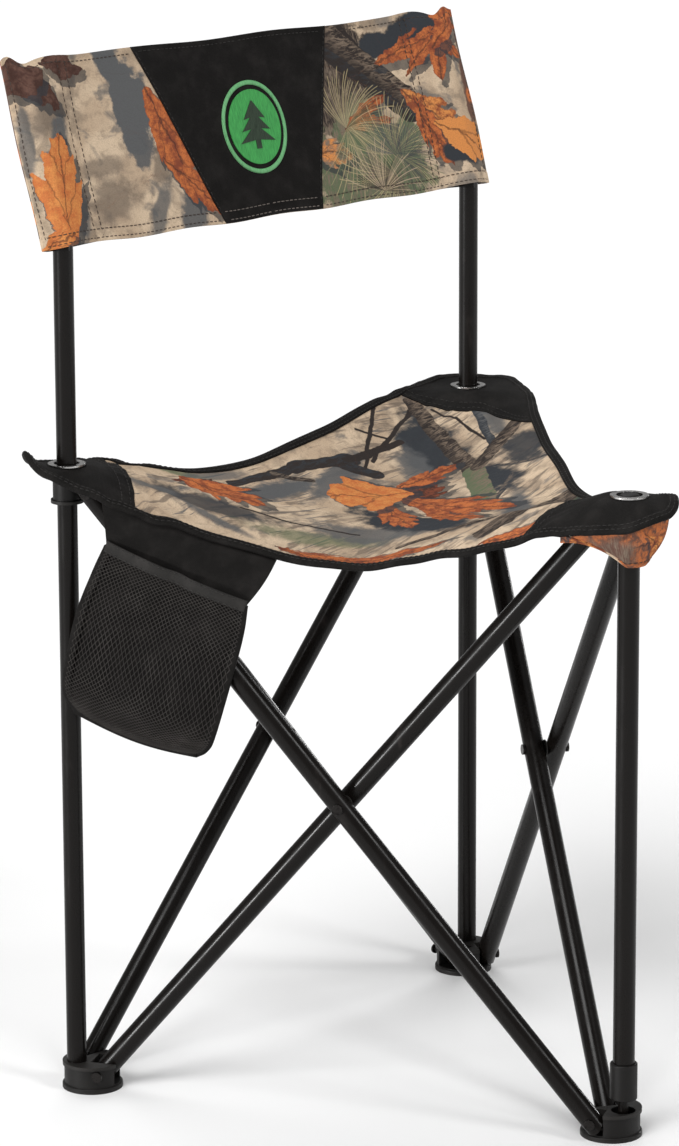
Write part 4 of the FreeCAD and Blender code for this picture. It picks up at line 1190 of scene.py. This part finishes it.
def patch_half_width(v, side):
    """Half width of the plain black panel at a height."""
    low, top = PATCH_LOW_HALF[side], PATCH_TOP_HALF[side]
    return low + (top - low) * (v - BACK_LOW) / (BACK_HIGH - BACK_LOW)


def backrest_half(name, side):
    """One half, with all that is sewn to it; side is -1 on the left and 1 on the right."""
    body = "backrest_" + name
    seam = POST_X - SLEEVE_SEAM
    edge = POST_X + SLEEVE_EDGE
    xs = np.concatenate([np.linspace(0, seam - 8 * MM, 74)[:-1], np.linspace(seam - 8 * MM, edge, 66)])
    x, v = np.meshgrid(side * xs, np.linspace(BACK_LOW, BACK_HIGH, 74), indexing="ij")
    front, rear = (layer(body + tag, x, v, way, 0.08 * MM, PANEL_LAYER, [CAMO_BACK, LINING])
                   for tag, way in (("_front_cloth", 1.0), ("_rear_cloth", -1.0)))

    on_cloth = PANEL_LAYER + 0.05 * MM
    v = np.linspace(BACK_LOW, BACK_HIGH, 60)[None, :]
    x = side * patch_half_width(v, side) * np.linspace(0, 1, 46)[:, None]
    v = np.broadcast_to(v, x.shape)
    panel = layer(body + "_black_panel", x, v, 1.0, on_cloth, PANEL_LAYER + PANEL_THICKNESS, [BLACK_CLOTH])

    on_panel = PANEL_LAYER + PANEL_THICKNESS + 0.05 * MM
    line = np.linspace(BACK_LOW + 2 * MM, BACK_HIGH - 2 * MM, 60)
    dark_rows = [back_row(side * (seam + offset), line, on_cloth, way)
                 for way in (1.0, -1.0) for offset in (0.5 * MM, -6.5 * MM)]
    dark_rows.append(back_row(side * (edge - 3.0 * MM), line, on_cloth))
    for height in HEM_ROWS:
        run = np.linspace(patch_half_width(height, side) + 3 * MM, edge - 2 * MM, 90)
        dark_rows.append(back_row(side * run, height, on_cloth + 0.45 * MM))
        dark_rows.append(back_row(side * np.linspace(2 * MM, edge - 2 * MM, 120), height, on_cloth, -1.0))
    run = np.linspace(patch_half_width(BACK_HIGH, side) + 2 * MM, edge - 4 * MM, 90)
    dark_rows.append(back_row(side * run, BACK_HIGH - 5 * MM, on_cloth))
    sewing = stitches(body + "_dark_stitching", dark_rows, DARK_THREAD)
    pale_rows = []
    for height in HEM_ROWS:
        run = np.linspace(1 * MM, patch_half_width(height, side) - 3 * MM, 40)
        pale_rows.append(back_row(side * run, height, on_panel + 0.45 * MM))
    pale = stitches(body + "_pale_stitching", pale_rows, PALE_THREAD)
    black_rows = [back_row(side * (patch_half_width(line, side) - 1.8 * MM), line, on_panel)]
    run = np.linspace(1 * MM, PATCH_TOP_HALF[side] - 4 * MM, 60)
    black_rows.append(back_row(side * run, BACK_HIGH - 4 * MM, on_panel))
    black = stitches(body + "_black_stitching", black_rows, BLACK_THREAD)

    for piece, finish in ((front, "camo_fabric"), (rear, "camo_fabric"), (panel, "black_fabric"),
                          (sewing, "camo_fabric"), (pale, "black_fabric"), (black, "black_fabric")):
        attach(piece, body)
    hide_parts(body + "_sleeve", body + "_panel")
    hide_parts(body + "_patch")
    badge(side, body)


def badge(side, body):
    """Half of a plain round badge with a pine tree, cut at the backrest's middle."""
    base = PANEL_LAYER + PANEL_THICKNESS

    def disc(tag, outer, inner, low, high, material):
        turn = np.linspace(-math.pi / 2, math.pi / 2, 49)[:, None]
        share = np.linspace(inner, outer, 9 if inner else 15)[None, :]
        x = side * BADGE_HALF[0] * np.cos(turn) * share
        v = BADGE_HEIGHT + BADGE_HALF[1] * np.sin(turn) * share
        crown = np.sin(np.clip((share - inner) / (outer - inner), 0, 1) * math.pi) ** 0.5 if inner else 1.0
        depth = back_depth(x, v, 1.0)
        top = back_point(x, v, depth + low + (high - low) * crown + 0.02 * MM)
        under = back_point(x, v, depth + low)
        return shell(body + tag, top, under, np.stack(np.broadcast_arrays(x, v), axis=2), [material])

    border = disc("_badge_border", 1.0, 0.90, base, base + 1.1 * MM, BADGE_BORDER)
    field = disc("_badge_field", 0.80, 0.0, base, base + 0.7 * MM, BADGE_FIELD)
    points = []
    faces = []
    rows, columns = 9, 7
    for top, low, half in TREE_TIERS:
        tip = 0.4 if half > 3 else half
        for share in np.linspace(0, 1, rows):
            v = BADGE_HEIGHT + (top + (low - top) * share) * MM
            reach = (tip + (half - tip) * share) * MM
            for across in np.linspace(0, 1, columns):
                x = side * reach * across
                sag = -2.0 * MM * across * share if half > 3 else 0.0
                depth = back_depth(np.array(x), np.array(v), 1.0)
                points.append(back_point(x, v + sag, depth + base + 1.15 * MM))
    total = len(points)
    points += [p - BACK_FRONT * 0.5 * MM for p in points]
    for ids in np.arange(total).reshape(-1, rows, columns):
        for i in range(rows - 1):
            for j in range(columns - 1):
                quad = (ids[i, j], ids[i, j + 1], ids[i + 1, j + 1], ids[i + 1, j])
                faces.append(quad)
                faces.append(tuple(k + total for k in reversed(quad)))
        loop = [*ids[0], *ids[1:, -1], *ids[-1, -2::-1], *ids[-2:0:-1, 0]]
        for a, b in zip(loop, loop[1:] + loop[:1]):
            faces.append((b, a, a + total, b + total))
    flat = np.array(points)
    uv = np.stack([flat[:, 0], (flat - BACK_ORIGIN) @ BACK_UP], axis=1)
    mark = add_mesh(body + "_badge_tree", points, faces, uv, [BADGE_MARK])
    fix_outside(mark)
    for piece in (border, field, mark):
        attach(piece, body)
    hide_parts(body + "_badge")


backrest_half("left", -1)
backrest_half("right", 1)

# ---- side pocket --------------------------------------------------------------------

POCKET_AT = 21.0 * MM          # outwards from the leg line
POCKET_WAY = unit(LEG["front"] - LEG["rear_left"])
POCKET_OUT = unit((LEG["front"] + LEG["rear_left"]) / 2 - CENTRE)
# Sides of the pocket below its mouth, in mm along the leg line and up from the floor.
POCKET_LEFT = [(37, 429), (27, 408), (14, 376), (5, 338), (3, 316), (12, 300.5)]
POCKET_RIGHT = [(144, 390), (141, 370), (134, 343), (119, 292), (113, 279), (105, 274)]
POCKET_TOP = (36, 160)         # where its upper cloth hangs from the seat's edge
POCKET_CLOTH = 0.9 * MM
NET_CORD_WIDTH = 0.75 * MM
NET_CELLS = 34                 # diamonds of the net, across and down


def pocket_point(u, z, out):
    """Point of the pocket: along the leg line, up from the floor, and outwards."""
    u, z, out = np.broadcast_arrays(*(np.asarray(k, float) for k in (u, z, out)))
    return LEG["rear_left"] + POCKET_WAY * u[..., None] + POCKET_OUT * out[..., None] + UP * z[..., None]


def side_curve(points):
    """Smooth side of the pocket, by its share down from the mouth."""
    points = np.array(points, float) * MM
    share = np.linspace(0, 1, len(points))
    return hermite(share, points[:, 0]), hermite(share, points[:, 1])


LEFT_CURVE = side_curve(POCKET_LEFT)
RIGHT_CURVE = side_curve(POCKET_RIGHT)


def pocket_outline(p, q):
    """Along and up for a share across and a share down from the mouth."""
    u = LEFT_CURVE[0](q) * (1 - p) + RIGHT_CURVE[0](q) * p
    z = LEFT_CURVE[1](q) * (1 - p) + RIGHT_CURVE[1](q) * p
    sag = -5 * MM * smooth((q - 0.6) / 0.4) * np.sin(math.pi * p)
    return u, z + sag


def net_bulge(p, q):
    """How far the net stands off the pocket's cloth, with its folds."""
    full = np.sin(math.pi * np.clip(p, 0, 1)) ** 0.7 * (1 - np.clip(q, 0, 1) ** 5)
    fold = 3.2 * MM * np.exp(-((p - 0.52 + 0.12 * q) / 0.07) ** 2) * (1 - q * q)
    fold += 1.6 * MM * np.exp(-((p - 0.25 - 0.1 * q) / 0.05) ** 2) * q * (1 - q) * 4
    fold += 1.2 * MM * np.sin(9 * p + 5 * q) ** 2 * q * (1 - q) * 4
    return 1.6 * MM + full * (11 * MM * (0.55 + 0.45 * q) - fold)


def pocket_cloth(name, u, z, out):
    face = pocket_point(u, z, out)
    return shell(name, face, face - POCKET_OUT * POCKET_CLOTH, np.stack([u, z], axis=2), [BLACK_CLOTH])


def pocket_pieces():
    """The pocket's two cloths, its net, its hem, its edge tape and its stitching."""
    out = POCKET_AT
    p = np.linspace(0, 1, 40)[:, None]
    q = np.linspace(0, 1, 44)[None, :]
    u, z = pocket_outline(p, q)
    ripple = 0.8 * MM * np.sin(u / (11 * MM) + z / (23 * MM))
    lower = pocket_cloth("pocket_back_cloth", u, z, out + ripple)

    q = np.linspace(0, 1, 22)[None, :]
    rim = Sector("rear_left", "left")
    mouth_u, mouth_z = pocket_outline(p, np.zeros(1))
    top_u = (POCKET_TOP[0] + (POCKET_TOP[1] - POCKET_TOP[0]) * p) * MM
    top_out = rim.outwards(top_u) - 2.5 * MM
    top_z = rim.heights(top_u) - 2.0 * MM
    flare = np.where(p > 0.5, 5 * MM * np.sin(math.pi * q) * (p - 0.5), 0)
    u = top_u + (mouth_u - top_u) * q + flare
    z = top_z + (mouth_z - top_z) * q
    away = out + (top_out - out) * (1 - q) ** 1.4
    ripple = 0.8 * MM * np.sin(u / (13 * MM) + 1) * np.sin(math.pi * q)
    upper = pocket_cloth("pocket_upper_cloth", u, z, away + ripple)

    steps = 2 * NET_CELLS
    points = []
    index = {}
    faces = []

    def corner(i, j):
        if (i, j) not in index:
            index[i, j] = len(points)
            share_p, share_q = i / steps, j / steps
            cu, cz = pocket_outline(np.array(share_p), np.array(share_q))
            points.append(pocket_point(cu, cz, out + net_bulge(share_p, share_q)))
        return index[i, j]

    for j in range(-1, steps):
        for i in range(-1, steps):
            if (i + j) % 2:
                continue
            loop = [(i, j + 1), (i + 1, j), (i + 2, j + 1), (i + 1, j + 2)]
            loop = [(min(max(a, 0), steps), min(max(b, 0), steps)) for a, b in loop]
            loop = list(dict.fromkeys(loop))
            if len(loop) > 2:
                faces.append([corner(a, b) for a, b in loop])
    net = add_mesh("pocket_net", points, faces, np.array(list(index)) / 500, [NET_CORD])
    wires = net.modifiers.new("cords", "WIREFRAME")
    wires.thickness = NET_CORD_WIDTH
    wires.offset = 0.0
    wires.use_even_offset = False
    apply_modifiers(net)

    p = np.linspace(0, 1, 60)
    u, z = pocket_outline(p, np.zeros(1))
    mouth = pocket_point(u, z, out + net_bulge(p, 0.0) + 0.2 * MM)
    ways = np.gradient(mouth, axis=0)
    mouth_ups = np.tile(POCKET_OUT, (len(p), 1))
    downs = all_unit(np.cross(mouth_ups, ways))
    downs *= -np.sign(downs[:, 2:3])
    profile = [(-4.5, 0.0), (-4.2, 0.8), (4.2, 0.8), (4.5, 0.0), (4.2, -0.8), (-4.2, -0.8)]
    hem = sweep("pocket_mouth_hem", mouth, downs, mouth_ups, profile, HEM_CLOTH)

    q = np.linspace(0, 1, 50)
    left = np.stack(pocket_outline(np.zeros(1), q), axis=1)
    bottom = np.stack(pocket_outline(np.linspace(0, 1, 40)[1:-1], np.ones(1)), axis=1)
    right = np.stack(pocket_outline(np.ones(1), q[::-1]), axis=1)
    loop = np.concatenate([left, bottom, right])
    path = pocket_point(loop[:, 0], loop[:, 1], out + 0.9 * MM)
    ways = np.gradient(path, axis=0)
    ups = np.tile(POCKET_OUT, (len(path), 1))
    outs = all_unit(np.cross(ways, ups))
    centre = path.mean(axis=0)
    outs *= np.sign(np.sum(outs * (path - centre), axis=1).mean())
    profile = [(-6, 0.3), (-5.6, 1.5), (0, 1.7), (1.2, 0.8),
               (1.2, -1.6), (0, -2.4), (-5.6, -2.3), (-6, -1.2)]
    tape = sweep("pocket_edge_tape", path, outs, ups, profile, BLACK_TAPE)

    rows = [(path - outs * 4.4 * MM + ups * 1.6 * MM, ups),
            (mouth + downs * 3.2 * MM + POCKET_OUT * 0.8 * MM, mouth_ups),
            (mouth - downs * 3.2 * MM + POCKET_OUT * 0.8 * MM, mouth_ups)]
    sewing = stitches("pocket_stitching", rows, BLACK_THREAD)

    for piece, finish in ((lower, "black_fabric"), (upper, "black_fabric"), (net, "pocket_net"),
                          (hem, "black_fabric"), (tape, "black_fabric"), (sewing, "black_fabric")):
        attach(piece, "pocket")
    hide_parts("pocket_back")
    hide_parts("pocket_mesh")
    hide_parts("pocket_hem")


def apply_modifiers(piece):
    """Makes a piece's modifiers part of its mesh."""
    graph = bpy.context.evaluated_depsgraph_get()
    mesh = bpy.data.meshes.new_from_object(piece.evaluated_get(graph))
    piece.modifiers.clear()
    piece.data = mesh


pocket_pieces()

# ---- finish of the frame's own parts ------------------------------------------------

FINISHES = [
    (("_pins", "_rivet"), PIN_STEEL),
    (("_grommet",), GROMMET_STEEL),
    (("_foot", "_hub", "_cap", "_bush", "_spacer", "_guide"), PLASTIC),
    (("_post", "_tube", "_rod", "_brace"), TUBE_PAINT),
]

for node_name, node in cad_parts.items():
    for endings, finish in FINISHES:
        if node_name.endswith(endings):
            node.data.materials.clear()
            node.data.materials.append(finish)
            break

# ---- floor, light and camera --------------------------------------------------------


def floor_material():
    """Pale studio floor, faintly uneven."""
    material, g = new_material("pale_floor")
    cloud = g.noise(object_place(g), 2.0, 2.0)
    colour = g.mix(cloud, (0.88, 0.88, 0.88), (0.92, 0.92, 0.92))
    return finished(material, g, colour, 0.9, specular=0.1)


FLOOR = 60.0                   # half its width
floor_corners = [(-FLOOR, -FLOOR, 0), (FLOOR, -FLOOR, 0), (FLOOR, FLOOR, 0), (-FLOOR, FLOOR, 0)]
floor = add_mesh("floor", floor_corners, [(0, 1, 2, 3)], None, [floor_material()])

world = bpy.data.worlds.new("studio")
world.use_nodes = True
background = world.node_tree.nodes["Background"].inputs
background["Color"].default_value = (1.0, 1.0, 1.0, 1.0)
background["Strength"].default_value = 0.33
bpy.context.scene.world = world
bpy.context.scene.view_settings.view_transform = "Standard"


def sun(name, azimuth, elevation, spread, strength):
    """Soft light from one side; azimuth 0 is the front, 90 the right."""
    data = bpy.data.lights.new(name, "SUN")
    data.angle = math.radians(spread)
    data.energy = strength
    light = bpy.data.objects.new(name, data)
    turn = math.radians(azimuth)
    rise = math.radians(elevation)
    back = Vector((math.sin(turn) * math.cos(rise), -math.cos(turn) * math.cos(rise), math.sin(rise)))
    light.matrix_world = back.to_track_quat("Z", "Y").to_matrix().to_4x4()
    bpy.context.scene.collection.objects.link(light)


LOOK_AT = (float(CENTRE[0]), float(CENTRE[1]), 0.4)
sun("key", -75, 48, 28, 1.85)
sun("fill", 10, 38, 14, 0.75)
sun("back", 150, 55, 40, 0.9)
sun("low_left", -102, 1.5, 10, 2.8)
sun("low_right", 104, 1.5, 10, 0.4)
sun("low_front", 38, 2, 8, 0.5)

AZIMUTH = math.radians(-44.158)
ELEVATION = math.radians(12.876)
ROLL = math.radians(-0.235)
DISTANCE = 3.5291
ASIDE = (-0.03729, 0.01739)
FOCAL_LENGTH = 147.07
SENSOR = 36.0
SHIFT = (0.0010, -0.0361)


def make_camera():
    """Camera that looks at the stool from its left front."""
    back = Vector((math.sin(AZIMUTH) * math.cos(ELEVATION), -math.cos(AZIMUTH) * math.cos(ELEVATION),
                   math.sin(ELEVATION)))
    right = Vector((math.cos(AZIMUTH), math.sin(AZIMUTH), 0.0))
    up = back.cross(right)
    camera_right = right * math.cos(ROLL) + up * math.sin(ROLL)
    camera_up = up * math.cos(ROLL) - right * math.sin(ROLL)
    place = Vector(LOOK_AT) + back * DISTANCE + camera_right * ASIDE[0] + camera_up * ASIDE[1]
    data = bpy.data.cameras.new("camera")
    data.lens = FOCAL_LENGTH
    data.sensor_width = SENSOR
    data.shift_x, data.shift_y = SHIFT
    camera = bpy.data.objects.new("camera", data)
    turn = Matrix((camera_right, camera_up, back)).transposed()
    camera.matrix_world = Matrix.Translation(place) @ turn.to_4x4()
    bpy.context.scene.collection.objects.link(camera)
    bpy.context.scene.camera = camera


make_camera()
